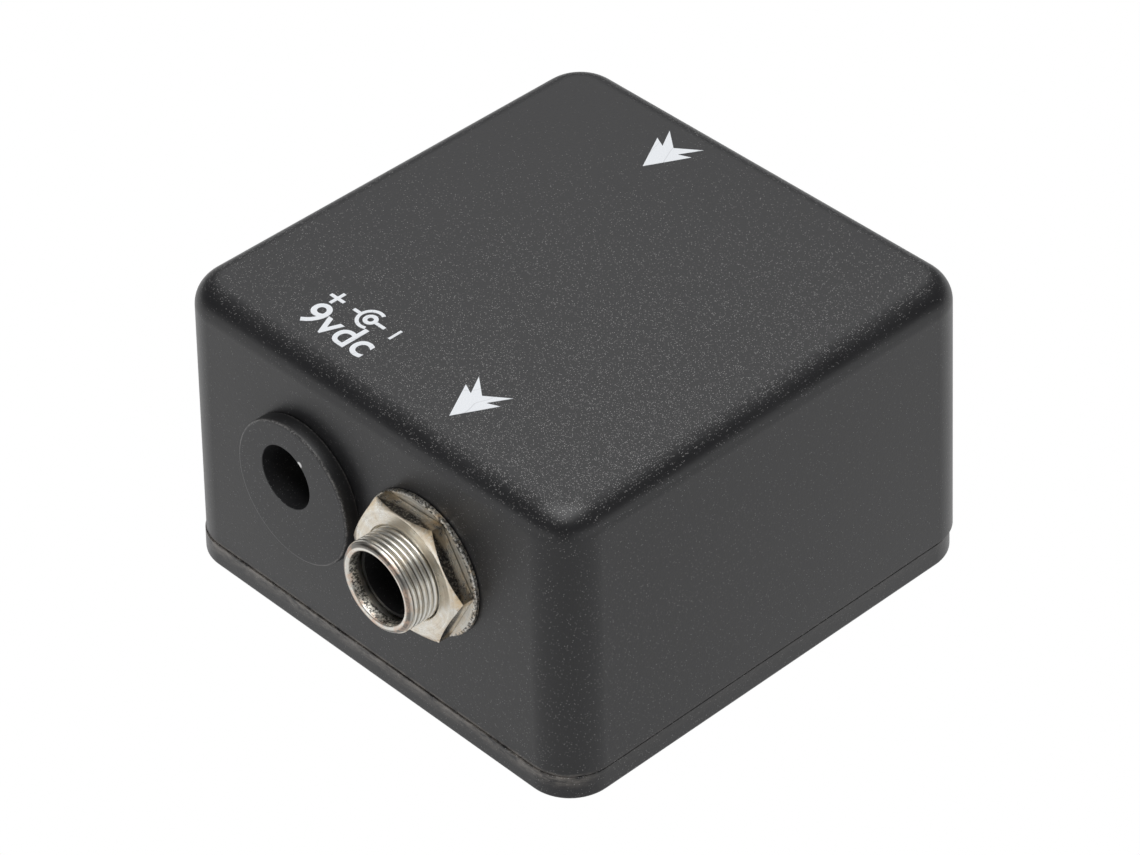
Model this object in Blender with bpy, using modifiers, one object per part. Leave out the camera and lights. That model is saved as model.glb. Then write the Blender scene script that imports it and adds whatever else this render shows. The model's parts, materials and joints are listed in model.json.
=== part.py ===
"""Direct injection box: a die-cast box with two 6.35 mm sockets and a low-voltage inlet.

Run it in Blender. Lengths are metres and +Z is up. The origin is the middle of the base, the
panel with the output socket and the inlet faces -Y, and the panel with the input socket faces +Y.
Everything on a panel is modelled in that panel's own frame: x across, y up, z out of the wall.
"""

import math

import bmesh
import bpy
from mathutils import Euler, Matrix, Vector

# Enclosure
CASE_WIDTH = 0.0505
CASE_DEPTH = 0.0505
CASE_HEIGHT = 0.0303
DRAFT = math.radians(1.2)
WALL = 0.0020
ROOF = 0.0022
CORNER_RADIUS = 0.0044
TOP_EDGE_RADIUS = 0.0024
RIM_EDGE_RADIUS = 0.0004

# Cover and its screws
COVER_RIM = 0.0030
COVER_PLATE = 0.0020
COVER_LIP_HEIGHT = 0.0016
COVER_LIP_WALL = 0.0012
COVER_EDGE_RADIUS = 0.0004
SCREW_INSET = 0.0052
SCREW_RADIUS = 0.00125
SCREW_LENGTH = 0.0100
SCREW_POINT_RADIUS = 0.0009
SCREW_POINT_LENGTH = 0.0005
SCREW_HEAD_RADIUS = 0.0027
SCREW_HEAD_RECESS = 0.0002
SCREW_HEAD_LAND = 0.0002
BOSS_RADIUS = 0.0033
BOSS_BORE_DEPTH = 0.0095
SHEET_THICKNESS = 0.0003

# Clearances
GAP = 0.0003
SEAT_GAP = 0.0002
OVERCUT = 0.0020
PANEL_ROW_OFFSET = -0.0002
PANEL_ROW_ROOM = 0.0009
HOUSING_ROOM = 0.00115

# 6.35 mm sockets, made around the standard plug
SOCKET_HEIGHT = 0.01735
PLUG_LENGTH = 0.0303
PLUG_END_ROOM = 0.00015
SOCKET_BORE_RADIUS = 0.00320
MOUTH_FLARE = 0.00022
MOUTH_DEPTH = 0.0013
SNOUT_WALL = 0.00035
BUSHING_WALL = 0.00055
BUSHING_CHAMFER = 0.00028
BUSHING_PROUD = 0.00545
BUSHING_FLANGE_RIM = 0.0012
BUSHING_FLANGE = 0.0010
HOUSING_SIDE_WALL = 0.00135
HOUSING_END_WALL = 0.0008
WASHER_RIM = 0.00285
WASHER_THICKNESS = 0.0004
NUT_RIM = 0.0016
NUT_THICKNESS = 0.0012
NUT_TURN = math.radians(2.3)

# Contacts of the sockets
LEAF_THICKNESS = 0.0004
LEAF_WIDTH = 0.0024
LEAF_ROOT_OFFSET = 0.0022
LEAF_ROOT_LEAD = 0.0030
LEAF_BOW = 0.0002
LEAF_SAG = 0.0008
LEAF_RAMP = 0.0018
RING_LEAF_BOW = 0.0006
RING_LEAF_LIFT = 0.0010
BUMP_INTRUSION = 0.00055
BUMP_RISE = 0.0002
BUMP_HALF_LENGTH = 0.0004
TIP_GROOVE_FROM_END = 0.00425
RING_FROM_END = 0.01045
SWITCH_BEHIND_BUMP = 0.0031
SLEEVE_CONTACT_BEHIND_FRONT = 0.00205
PIN_WIDTH = 0.0016
PIN_BELOW_BOARD = 0.0012

# Low-voltage inlet
INLET_HEIGHT = 0.0167
INLET_FLANGE_RIM = 0.0011
INLET_FLANGE = 0.0014
INLET_FLANGE_EDGE = 0.0003
INLET_BARREL_RADIUS = 0.0060
INLET_DEPTH = 0.0130
INLET_BORE_RADIUS = 0.00317
INLET_BORE_X = -0.0007
INLET_BORE_Y = 0.0014
INLET_BORE_DEPTH = 0.0105
INLET_PIN_RADIUS = 0.00105
INLET_PIN_RECESS = 0.0046
INLET_PIN_ROUNDING = 0.0004
INLET_TAG_RADIUS = 0.00063
INLET_LEAF_THICKNESS = 0.0003
INLET_LEAF_WIDTH = 0.0018
INLET_LEAF_OFFSET = 0.0038
INLET_LEAF_ROOT = 0.0115
INLET_BUMP = 0.00285
INLET_LEAF_BOW = 0.0001
INLET_LEAF_LIFT = 0.0003
INLET_NUT_RIM = 0.0010
INLET_NUT_THICKNESS = 0.0020
TAG_LENGTH = 0.0035

# Circuit
BOARD_THICKNESS = 0.0016
BOARD_SIDE_ROOM = 0.0012
BOARD_END_ROOM = 0.0030
LEAD_RADIUS = 0.0003
LEAD_TOP = 0.0010
LEAD_SPAN = 0.01016
LEAD_TAIL = 0.0008
WIRE_RADIUS = 0.0006
WIRE_SWAY = 0.0030
WIRE_BEND = 0.0010
DIP_PITCH = 0.00254
DIP_LEGS_PER_SIDE = 4
DIP_ROW = 0.00762
DIP_SIZE = Vector((0.0098, 0.0064, 0.0033))
DIP_TOP_TAPER = Vector((0.96, 0.92, 1.0))
DIP_STANDOFF = 0.0008
DIP_LEG_WIDTH = 0.0005
DIP_LEG_THICKNESS = 0.00026
DIP_SHOULDER_WIDTH = 0.0012
DIP_SHOULDER_THICKNESS = 0.00025
DIP_SHOULDER_OVERHANG = 0.00002
DIP_SHOULDER_BITE = 0.0005
CHIP_SIDESTEP = 0.0006
FILM_SIZE = Vector((0.0072, 0.0027, 0.0065))
FILM_EDGE = 0.0003
FILM_SPAN = 0.0050
FILM_PITCH = 0.0074
FILM_SIDESTEP = 0.0009
CAN_SIZES = ((0.00315, 0.0112, 0.0025), (0.0025, 0.0110, 0.0020))
CAN_ROOM = 0.0013
CAN_EDGE = 0.00045
CAN_GROOVE_HEIGHT = 0.0018
CAN_GROOVE_HALF = 0.0004
RESISTOR_LENGTH = 0.0063
RESISTOR_RADIUS = 0.00115
RESISTOR_WAIST = 0.00095
RESISTOR_ROW_ROOM = 0.0040
DIODE_LENGTH = 0.0052
DIODE_RADIUS = 0.00135
DIODE_WAIST = 0.00134
DIODE_BEHIND_TAG = 0.0040

ROUND_STEPS = 32
SMALL_STEPS = 16
CAN_STEPS = 20
AXIAL_STEPS = 12
LEAD_STEPS = 8
WIRE_STEPS = 16
CORNER_STEPS = 6
TOP_EDGE_STEPS = 4
RIM_STEPS = 2
TOLERANCE = 0.000001
MERGE_DISTANCE = 0.00001
SMOOTH_ANGLE = math.radians(35)

# Heights and half sizes that follow from the values above
TAPER = math.tan(DRAFT)
SEAM_TOP = COVER_RIM + GAP
ROOF_UNDERSIDE = CASE_HEIGHT - ROOF
SCREW_X = CASE_WIDTH / 2 - SCREW_INSET
SCREW_Y = CASE_DEPTH / 2 - SCREW_INSET
MOUTH_RADIUS = SOCKET_BORE_RADIUS + MOUTH_FLARE
SNOUT_RADIUS = SOCKET_BORE_RADIUS + SNOUT_WALL
BUSHING_RADIUS = SNOUT_RADIUS + GAP + BUSHING_WALL
BUSHING_FLANGE_RADIUS = BUSHING_RADIUS + BUSHING_FLANGE_RIM
WASHER_RADIUS = BUSHING_RADIUS + WASHER_RIM
NUT_ACROSS_FLATS = 2 * (BUSHING_RADIUS + NUT_RIM)
PLUG_END = PLUG_LENGTH - BUSHING_PROUD
TIP_BUMP_DEPTH = PLUG_END - TIP_GROOVE_FROM_END
RING_BUMP_DEPTH = PLUG_END - RING_FROM_END
SWITCH_DEPTH = TIP_BUMP_DEPTH + SWITCH_BEHIND_BUMP
LEAF_ROOT_DEPTH = RING_BUMP_DEPTH - LEAF_ROOT_LEAD
LEAF_ROOT_X = SOCKET_BORE_RADIUS + LEAF_ROOT_OFFSET
BUMP_RADIUS = SOCKET_BORE_RADIUS - BUMP_INTRUSION
HOUSING_HALF = LEAF_ROOT_X + HOUSING_SIDE_WALL
HOUSING_FRONT = WALL + GAP + BUSHING_FLANGE + GAP
HOUSING_BACK = PLUG_END + PLUG_END_ROOM + HOUSING_END_WALL
SLEEVE_CONTACT_DEPTH = HOUSING_FRONT + SLEEVE_CONTACT_BEHIND_FRONT
INLET_FLANGE_RADIUS = INLET_BARREL_RADIUS + INLET_FLANGE_RIM
PANEL_ROW_HALF = INLET_FLANGE_RADIUS + WASHER_RADIUS + PANEL_ROW_ROOM / 2
INLET_X = PANEL_ROW_OFFSET - PANEL_ROW_HALF + INLET_FLANGE_RADIUS
OUTPUT_SOCKET_X = PANEL_ROW_OFFSET + PANEL_ROW_HALF - WASHER_RADIUS
INPUT_SOCKET_X = OUTPUT_SOCKET_X - 2 * HOUSING_HALF - HOUSING_ROOM
INLET_NUT_ACROSS_FLATS = 2 * (INLET_BARREL_RADIUS + INLET_NUT_RIM)
BOARD_HALF_X = CASE_WIDTH / 2 - WALL - BOARD_SIDE_ROOM
BOARD_HALF_Y = CASE_DEPTH / 2 - WALL - BOARD_END_ROOM
BOARD_NOTCH_REACH = BOSS_RADIUS + 2 * GAP
LIP_TOP = COVER_RIM + COVER_LIP_HEIGHT
LIP_HALF_X = CASE_WIDTH / 2 - WALL - TAPER * LIP_TOP - GAP
LIP_HALF_Y = CASE_DEPTH / 2 - WALL - TAPER * LIP_TOP - GAP
POCKET_HALF_X = LIP_HALF_X - COVER_LIP_WALL
POCKET_HALF_Y = LIP_HALF_Y - COVER_LIP_WALL
POCKET_NOTCH_REACH = BOSS_RADIUS + GAP + COVER_LIP_WALL


def underside(height, half, depth):
    """The lowest point of a body this deep behind a drafted wall."""
    return height - half * math.cos(DRAFT) - depth * math.sin(DRAFT)


BOARD_TOP = min(
    underside(SOCKET_HEIGHT, HOUSING_HALF, HOUSING_BACK),
    underside(INLET_HEIGHT, INLET_BARREL_RADIUS, INLET_DEPTH),
) - GAP
BOARD_BOTTOM = BOARD_TOP - BOARD_THICKNESS
PIN_FOOT = SOCKET_HEIGHT - BOARD_BOTTOM + PIN_BELOW_BOARD
LEAD_FOOT = BOARD_BOTTOM - LEAD_TAIL


def clear_scene():
    for obj in list(bpy.data.objects):
        bpy.data.objects.remove(obj, do_unlink=True)


def new_collection(name):
    collection = bpy.data.collections.new(name)
    bpy.context.scene.collection.children.link(collection)
    return collection


clear_scene()
BOARD_SLOTS = []
BOARD_HOLES = []
PARTS = new_collection("direct_injection_box")
CUTTERS = new_collection("cutters")


def principled(name, color, roughness, metallic=0.0):
    material = bpy.data.materials.new(name)
    material.use_nodes = True
    shader = material.node_tree.nodes["Principled BSDF"]
    shader.inputs["Base Color"].default_value = (*color, 1.0)
    shader.inputs["Roughness"].default_value = roughness
    shader.inputs["Metallic"].default_value = metallic
    return material


POWDER_COAT = principled("black_powder_coat", (0.06, 0.06, 0.063), 0.55)
NICKEL = principled("nickel_plate", (0.66, 0.63, 0.58), 0.32, 1.0)
ZINC = principled("zinc_plated_screw", (0.55, 0.55, 0.55), 0.35, 1.0)
BLACK_PLASTIC = principled("black_moulding", (0.03, 0.03, 0.032), 0.45)
SPRING_METAL = principled("phosphor_bronze", (0.72, 0.55, 0.35), 0.3, 1.0)
BOARD_GREEN = principled("board_laminate", (0.03, 0.16, 0.07), 0.4)
EPOXY = principled("chip_epoxy", (0.02, 0.02, 0.02), 0.5)
CAN_SLEEVE = principled("capacitor_sleeve", (0.03, 0.04, 0.09), 0.35)
FILM_BOX = principled("film_capacitor_box", (0.45, 0.06, 0.05), 0.4)
RESISTOR_BLUE = principled("resistor_lacquer", (0.22, 0.42, 0.55), 0.35)
RED_WIRE = principled("red_insulation", (0.55, 0.03, 0.02), 0.4)
BLACK_WIRE = principled("black_insulation", (0.015, 0.015, 0.015), 0.4)
FIBRE_SHEET = principled("insulating_fibre", (0.12, 0.12, 0.13), 0.7)


def new_object(name, mesh, material=None, parent=None, place=(0, 0, 0)):
    """A part when it has a material, and otherwise a hidden cutter."""
    obj = bpy.data.objects.new(name, mesh)
    obj.parent = parent
    obj.location = place
    if material:
        mesh.materials.clear()
        mesh.materials.append(material)
        mesh.shade_smooth()
        mesh.set_sharp_from_angle(angle=SMOOTH_ANGLE)
        PARTS.objects.link(obj)
    else:
        obj.hide_render = True
        obj.display_type = "WIRE"
        CUTTERS.objects.link(obj)
    return obj


def mesh_of(name, build):
    mesh = bpy.data.meshes.new(name)
    shape = bmesh.new()
    build(shape)
    shape.to_mesh(mesh)
    shape.free()
    return mesh


def add_box(shape, low, high):
    low, high = Vector(low), Vector(high)
    place = Matrix.Translation((low + high) / 2) @ Matrix.Diagonal((*(high - low), 1))
    return bmesh.ops.create_cube(shape, size=1.0, matrix=place)["verts"]


def add_cylinder(shape, x, y, low, high, radius, steps=SMALL_STEPS, top_radius=None):
    place = Matrix.Translation((x, y, (low + high) / 2))
    bmesh.ops.create_cone(
        shape,
        cap_ends=True,
        segments=steps,
        radius1=radius,
        radius2=radius if top_radius is None else top_radius,
        depth=high - low,
        matrix=place,
    )


def cutter(name, build, parent=None):
    return new_object(name, mesh_of(name, build), parent=parent)


def box(name, low, high, **kwargs):
    return new_object(name, mesh_of(name, lambda shape: add_box(shape, low, high)), **kwargs)


def turned(name, profile, steps=ROUND_STEPS, closed=False, **kwargs):
    """A solid of revolution about Z. The profile is (radius, height) pairs, down the outer side."""

    def build(shape):
        verts = [shape.verts.new((radius, 0, height)) for radius, height in profile]
        ends = verts[1:] + verts[:1] if closed else verts[1:]
        for start, end in zip(verts, ends):
            shape.edges.new((start, end))

    obj = new_object(name, mesh_of(name, build), **kwargs)
    screw = obj.modifiers.new("turn", "SCREW")
    screw.axis = "Z"
    screw.steps = screw.render_steps = steps
    screw.use_smooth_shade = False
    screw.use_merge_vertices = True
    screw.merge_threshold = MERGE_DISTANCE
    return obj


def boolean(obj, other, operation="DIFFERENCE"):
    modifier = obj.modifiers.new(f"{operation.lower()}_{other.name}", "BOOLEAN")
    modifier.operation = operation
    modifier.solver = "EXACT"
    modifier.object = other
    return obj


def evaluated_mesh(obj, name):
    """The object's mesh with its modifiers applied. The object itself is removed."""
    bpy.context.view_layer.update()
    graph = bpy.context.evaluated_depsgraph_get()
    mesh = bpy.data.meshes.new_from_object(obj.evaluated_get(graph))
    mesh.name = name
    bpy.data.objects.remove(obj, do_unlink=True)
    return mesh


def tapered_block(name, half_x, half_y, low, high, corner, top_edge=0.0, bottom_edge=0.0, **kwargs):
    """A block with drafted walls. Its half sizes are those at the height of the base, zero."""

    def rounded(shape, offset, segments, chosen):
        edges = [edge for edge in shape.edges if chosen(*edge.verts)]
        bmesh.ops.bevel(
            shape, geom=edges, offset=offset, segments=segments, profile=0.5, affect="EDGES"
        )

    def level(height):
        return lambda a, b: max(abs(a.co.z - height), abs(b.co.z - height)) < TOLERANCE

    def build(shape):
        for vert in add_box(shape, (-half_x, -half_y, low), (half_x, half_y, high)):
            inward = TAPER * vert.co.z
            vert.co.x -= math.copysign(inward, vert.co.x)
            vert.co.y -= math.copysign(inward, vert.co.y)
        rounded(shape, corner, CORNER_STEPS, lambda a, b: abs(a.co.z - b.co.z) > TOLERANCE)
        if top_edge:
            rounded(shape, top_edge, TOP_EDGE_STEPS, level(high))
        if bottom_edge:
            rounded(shape, bottom_edge, RIM_STEPS, level(low))

    return new_object(name, mesh_of(name, build), **kwargs)


def at_corners(x, y):
    return [(side_x * x, side_y * y) for side_x in (-1, 1) for side_y in (-1, 1)]


def corner_blocks(name, reach, low, high):
    """Four blocks that fill the corners beyond each screw's boss."""

    def build(shape):
        for x, y in at_corners(1, 1):
            inner = Vector((x * (SCREW_X - reach), y * (SCREW_Y - reach), low))
            outer = Vector((x * CASE_WIDTH, y * CASE_DEPTH, high))
            start = [min(a, b) for a, b in zip(inner, outer)]
            end = [max(a, b) for a, b in zip(inner, outer)]
            verts = add_box(shape, start, end)
            post = [
                edge
                for edge in {edge for vert in verts for edge in vert.link_edges}
                if all((vert.co.xy - inner.xy).length < TOLERANCE for vert in edge.verts)
            ]
            bmesh.ops.bevel(
                shape, geom=post, offset=reach, segments=CORNER_STEPS, profile=0.5, affect="EDGES"
            )

    return cutter(name, build)


def wall_y(height):
    """Distance from the middle plane to the outer face of an end wall, at this height."""
    return CASE_DEPTH / 2 - TAPER * height


OUTPUT_BACK_Y = HOUSING_BACK - wall_y(SOCKET_HEIGHT)
RESISTOR_FRONT_Y = BOARD_NOTCH_REACH - SCREW_Y + (LEAD_SPAN + RESISTOR_ROW_ROOM / 2) / 2
CHIP_HALF = (DIP_ROW + DIP_LEG_THICKNESS) / 2 + DIP_SHOULDER_OVERHANG
CHIP_AREA_GAP = (BOARD_HALF_Y - OUTPUT_BACK_Y - 2 * CHIP_HALF - FILM_SIZE.y) / 3
CHIP_X = OUTPUT_SOCKET_X + CHIP_SIDESTEP
CHIP_Y = OUTPUT_BACK_Y + CHIP_AREA_GAP + CHIP_HALF
FILM_Y = CHIP_Y + CHIP_HALF + CHIP_AREA_GAP + FILM_SIZE.y / 2


def panel_frame(name, x, height, turn):
    """An empty on an end wall: x across, y up, z straight out of the drafted wall."""
    turned_to = Euler((math.pi / 2 - DRAFT, 0, turn)).to_matrix().to_4x4()
    spot = Matrix.Rotation(turn, 4, "Z") @ Vector((0, -wall_y(height), height))
    empty = bpy.data.objects.new(name, None)
    empty.matrix_world = Matrix.Translation((x, spot.y, spot.z)) @ turned_to
    PARTS.objects.link(empty)
    return empty


OUTPUT_PANEL = panel_frame("output_socket_axis", OUTPUT_SOCKET_X, SOCKET_HEIGHT, 0)
INPUT_PANEL = panel_frame("input_socket_axis", INPUT_SOCKET_X, SOCKET_HEIGHT, math.pi)
INLET_PANEL = panel_frame("dc_inlet_axis", INLET_X, INLET_HEIGHT, 0)


def panel_hole(name, panel, radius):
    def build(shape):
        add_cylinder(shape, 0, 0, -WALL - OVERCUT, OVERCUT, radius, ROUND_STEPS)

    return cutter(name, build, panel)


def make_case():
    case = tapered_block(
        "case",
        CASE_WIDTH / 2,
        CASE_DEPTH / 2,
        SEAM_TOP,
        CASE_HEIGHT,
        CORNER_RADIUS,
        TOP_EDGE_RADIUS,
        RIM_EDGE_RADIUS,
        material=POWDER_COAT,
    )
    cavity = tapered_block(
        "case_cavity",
        CASE_WIDTH / 2 - WALL,
        CASE_DEPTH / 2 - WALL,
        0,
        ROOF_UNDERSIDE,
        CORNER_RADIUS - WALL,
    )
    boolean(cavity, corner_blocks("boss_blocks", BOSS_RADIUS, -OVERCUT, CASE_HEIGHT))

    def bores(shape):
        for x, y in at_corners(SCREW_X, SCREW_Y):
            add_cylinder(shape, x, y, 0, SEAM_TOP + BOSS_BORE_DEPTH, SCREW_RADIUS + GAP)

    boolean(case, cavity)
    boolean(case, cutter("boss_bores", bores))
    socket_hole = BUSHING_RADIUS + GAP
    boolean(case, panel_hole("output_socket_hole", OUTPUT_PANEL, socket_hole))
    boolean(case, panel_hole("input_socket_hole", INPUT_PANEL, socket_hole))
    boolean(case, panel_hole("dc_inlet_hole", INLET_PANEL, INLET_BARREL_RADIUS + GAP))


def make_cover():
    cover = tapered_block(
        "bottom_cover",
        CASE_WIDTH / 2,
        CASE_DEPTH / 2,
        0,
        COVER_RIM,
        CORNER_RADIUS,
        bottom_edge=COVER_EDGE_RADIUS,
        material=POWDER_COAT,
    )
    lip = box(
        "cover_lip", (-LIP_HALF_X, -LIP_HALF_Y, COVER_PLATE), (LIP_HALF_X, LIP_HALF_Y, LIP_TOP)
    )
    boolean(lip, corner_blocks("lip_notches", BOSS_RADIUS + GAP, -OVERCUT, LIP_TOP + OVERCUT))
    pocket = box(
        "cover_pocket",
        (-POCKET_HALF_X, -POCKET_HALF_Y, COVER_PLATE),
        (POCKET_HALF_X, POCKET_HALF_Y, LIP_TOP + OVERCUT),
    )
    notches = corner_blocks("pocket_notches", POCKET_NOTCH_REACH, -OVERCUT, LIP_TOP + 2 * OVERCUT)
    boolean(pocket, notches)

    def holes(shape):
        for x, y in at_corners(SCREW_X, SCREW_Y):
            add_cylinder(shape, x, y, -OVERCUT, COVER_RIM + OVERCUT, SCREW_RADIUS + GAP)

    def countersinks(shape):
        mouth = SCREW_HEAD_RADIUS + GAP + OVERCUT / 2
        depth = mouth - SCREW_RADIUS / 2
        low = SCREW_HEAD_RECESS + SCREW_HEAD_LAND - OVERCUT / 2
        for x, y in at_corners(SCREW_X, SCREW_Y):
            add_cylinder(shape, x, y, low, low + depth, mouth, top_radius=SCREW_RADIUS / 2)

    boolean(cover, lip, "UNION")
    boolean(cover, pocket)
    boolean(cover, cutter("cover_screw_holes", holes))
    boolean(cover, cutter("cover_countersinks", countersinks))


def make_cover_screws():
    head = SCREW_HEAD_RECESS
    cone_foot = head + SCREW_HEAD_LAND
    neck = cone_foot + SCREW_HEAD_RADIUS - SCREW_RADIUS
    tip = head + SCREW_LENGTH
    profile = [
        (0, tip),
        (SCREW_POINT_RADIUS, tip),
        (SCREW_RADIUS, tip - SCREW_POINT_LENGTH),
        (SCREW_RADIUS, neck),
        (SCREW_HEAD_RADIUS, cone_foot),
        (SCREW_HEAD_RADIUS, head),
        (0, head),
    ]
    for number, (x, y) in enumerate(at_corners(SCREW_X, SCREW_Y), 1):
        turned(f"cover_screw_{number}", profile, SMALL_STEPS, material=ZINC, place=(x, y, 0))


def make_insulating_sheet():
    half_x = POCKET_HALF_X - GAP
    half_y = POCKET_HALF_Y - GAP
    low = COVER_PLATE + SEAT_GAP
    high = low + SHEET_THICKNESS
    sheet = box(
        "insulating_sheet", (-half_x, -half_y, low), (half_x, half_y, high), material=FIBRE_SHEET
    )
    reach = POCKET_NOTCH_REACH + GAP
    boolean(sheet, corner_blocks("sheet_notches", reach, -OVERCUT, high + OVERCUT))


def hexagon(name, panel, across_flats, low, high, hole, turn):
    """A hexagon nut. One corner lies this far round from the panel's x."""

    def build(shape):
        corner_on_x = turn - math.pi / 2
        place = Matrix.Rotation(corner_on_x, 4, "Z") @ Matrix.Translation((0, 0, (low + high) / 2))
        bmesh.ops.create_cone(
            shape,
            cap_ends=True,
            segments=6,
            radius1=across_flats / math.sqrt(3),
            radius2=across_flats / math.sqrt(3),
            depth=high - low,
            matrix=place,
        )

    def bore(shape):
        add_cylinder(shape, 0, 0, low - OVERCUT, high + OVERCUT, hole, ROUND_STEPS)

    nut = new_object(name, mesh_of(name, build), material=NICKEL, parent=panel)
    boolean(nut, cutter(f"{name}_bore", bore, panel))


def make_socket_metalwork(prefix, panel):
    inner = SNOUT_RADIUS + GAP
    step = BUSHING_PROUD - MOUTH_DEPTH
    flange_top = -WALL - GAP
    flange_foot = flange_top - BUSHING_FLANGE
    bushing = [
        (BUSHING_RADIUS - BUSHING_CHAMFER, BUSHING_PROUD),
        (BUSHING_RADIUS, BUSHING_PROUD - BUSHING_CHAMFER),
        (BUSHING_RADIUS, flange_top),
        (BUSHING_FLANGE_RADIUS, flange_top),
        (BUSHING_FLANGE_RADIUS, flange_foot),
        (inner, flange_foot),
        (inner, step),
        (MOUTH_RADIUS, step),
        (MOUTH_RADIUS, BUSHING_PROUD),
    ]
    turned(f"{prefix}_bushing", bushing, closed=True, material=NICKEL, parent=panel)
    washer_top = SEAT_GAP + WASHER_THICKNESS
    hole = BUSHING_RADIUS + GAP
    washer = [
        (WASHER_RADIUS, washer_top),
        (WASHER_RADIUS, SEAT_GAP),
        (hole, SEAT_GAP),
        (hole, washer_top),
    ]
    turned(f"{prefix}_washer", washer, closed=True, material=NICKEL, parent=panel)
    nut_low = washer_top + SEAT_GAP
    nut_high = nut_low + NUT_THICKNESS
    hexagon(f"{prefix}_nut", panel, NUT_ACROSS_FLATS, nut_low, nut_high, hole, NUT_TURN)


def make_socket_housing(prefix, panel):
    """The moulded body: a block with the bore, side windows for the leaves and slots for pins."""
    half = HOUSING_HALF
    snout_top = BUSHING_PROUD - MOUTH_DEPTH - GAP
    bore_end = HOUSING_BACK - HOUSING_END_WALL
    window = LEAF_WIDTH / 2 + GAP
    pin_half = PIN_WIDTH / 2 + GAP
    root = LEAF_ROOT_DEPTH - GAP - PIN_WIDTH / 2
    outside = half + OVERCUT
    housing = box(
        f"{prefix}_housing",
        (-half, -half, -HOUSING_BACK),
        (half, half, -HOUSING_FRONT),
        material=BLACK_PLASTIC,
        parent=panel,
    )

    def snout(shape):
        low = -HOUSING_FRONT - OVERCUT
        add_cylinder(shape, 0, 0, low, snout_top, SNOUT_RADIUS, ROUND_STEPS)

    def bore(shape):
        add_cylinder(shape, 0, 0, -bore_end, snout_top + OVERCUT, SOCKET_BORE_RADIUS, ROUND_STEPS)

    def pocket(name, low, high):
        boolean(housing, box(f"{prefix}_{name}", low, high, parent=panel))

    boolean(housing, cutter(f"{prefix}_snout", snout, panel), "UNION")
    boolean(housing, cutter(f"{prefix}_bore", bore, panel))
    front = root - pin_half
    pocket("tip_window", (0, -window, -bore_end), (outside, window, -front))
    ring_end = RING_BUMP_DEPTH + LEAF_WIDTH + GAP + LEAF_THICKNESS
    pocket("ring_window", (-outside, -window, -ring_end), (0, window, -front))
    slot = LEAF_ROOT_X - LEAF_THICKNESS / 2 - GAP
    pocket("tip_slot", (slot, -outside, -root - pin_half), (outside, 0, -front))
    pocket("ring_slot", (-outside, -outside, -root - pin_half), (-slot, 0, -front))
    switch_x = SOCKET_BORE_RADIUS + GAP + LEAF_THICKNESS / 2
    switch_half = LEAF_THICKNESS / 2 + GAP
    pocket(
        "switch_slot",
        (switch_x - switch_half, -outside, -SWITCH_DEPTH - pin_half),
        (switch_x + switch_half, 0, -SWITCH_DEPTH + pin_half),
    )
    sleeve_half = LEAF_THICKNESS / 2 + GAP
    pocket(
        "sleeve_slot",
        (-pin_half, -outside, -SLEEVE_CONTACT_DEPTH - sleeve_half),
        (pin_half, 0, -SLEEVE_CONTACT_DEPTH + sleeve_half),
    )


def leaf(name, panel, origin, path, width, thickness, material):
    """A sprung strip. The path is (x, z) pairs from its root, which is the object's origin."""

    def build(shape):
        rows = [
            [shape.verts.new((x, y, z)) for y in (-width / 2, width / 2)] for x, z in path
        ]
        for (a, b), (c, d) in zip(rows, rows[1:]):
            shape.faces.new((a, b, d, c))

    strip = new_object(name, mesh_of(name, build), material=material, parent=panel, place=origin)
    wall = strip.modifiers.new("thickness", "SOLIDIFY")
    wall.thickness = thickness
    wall.offset = 0


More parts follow.
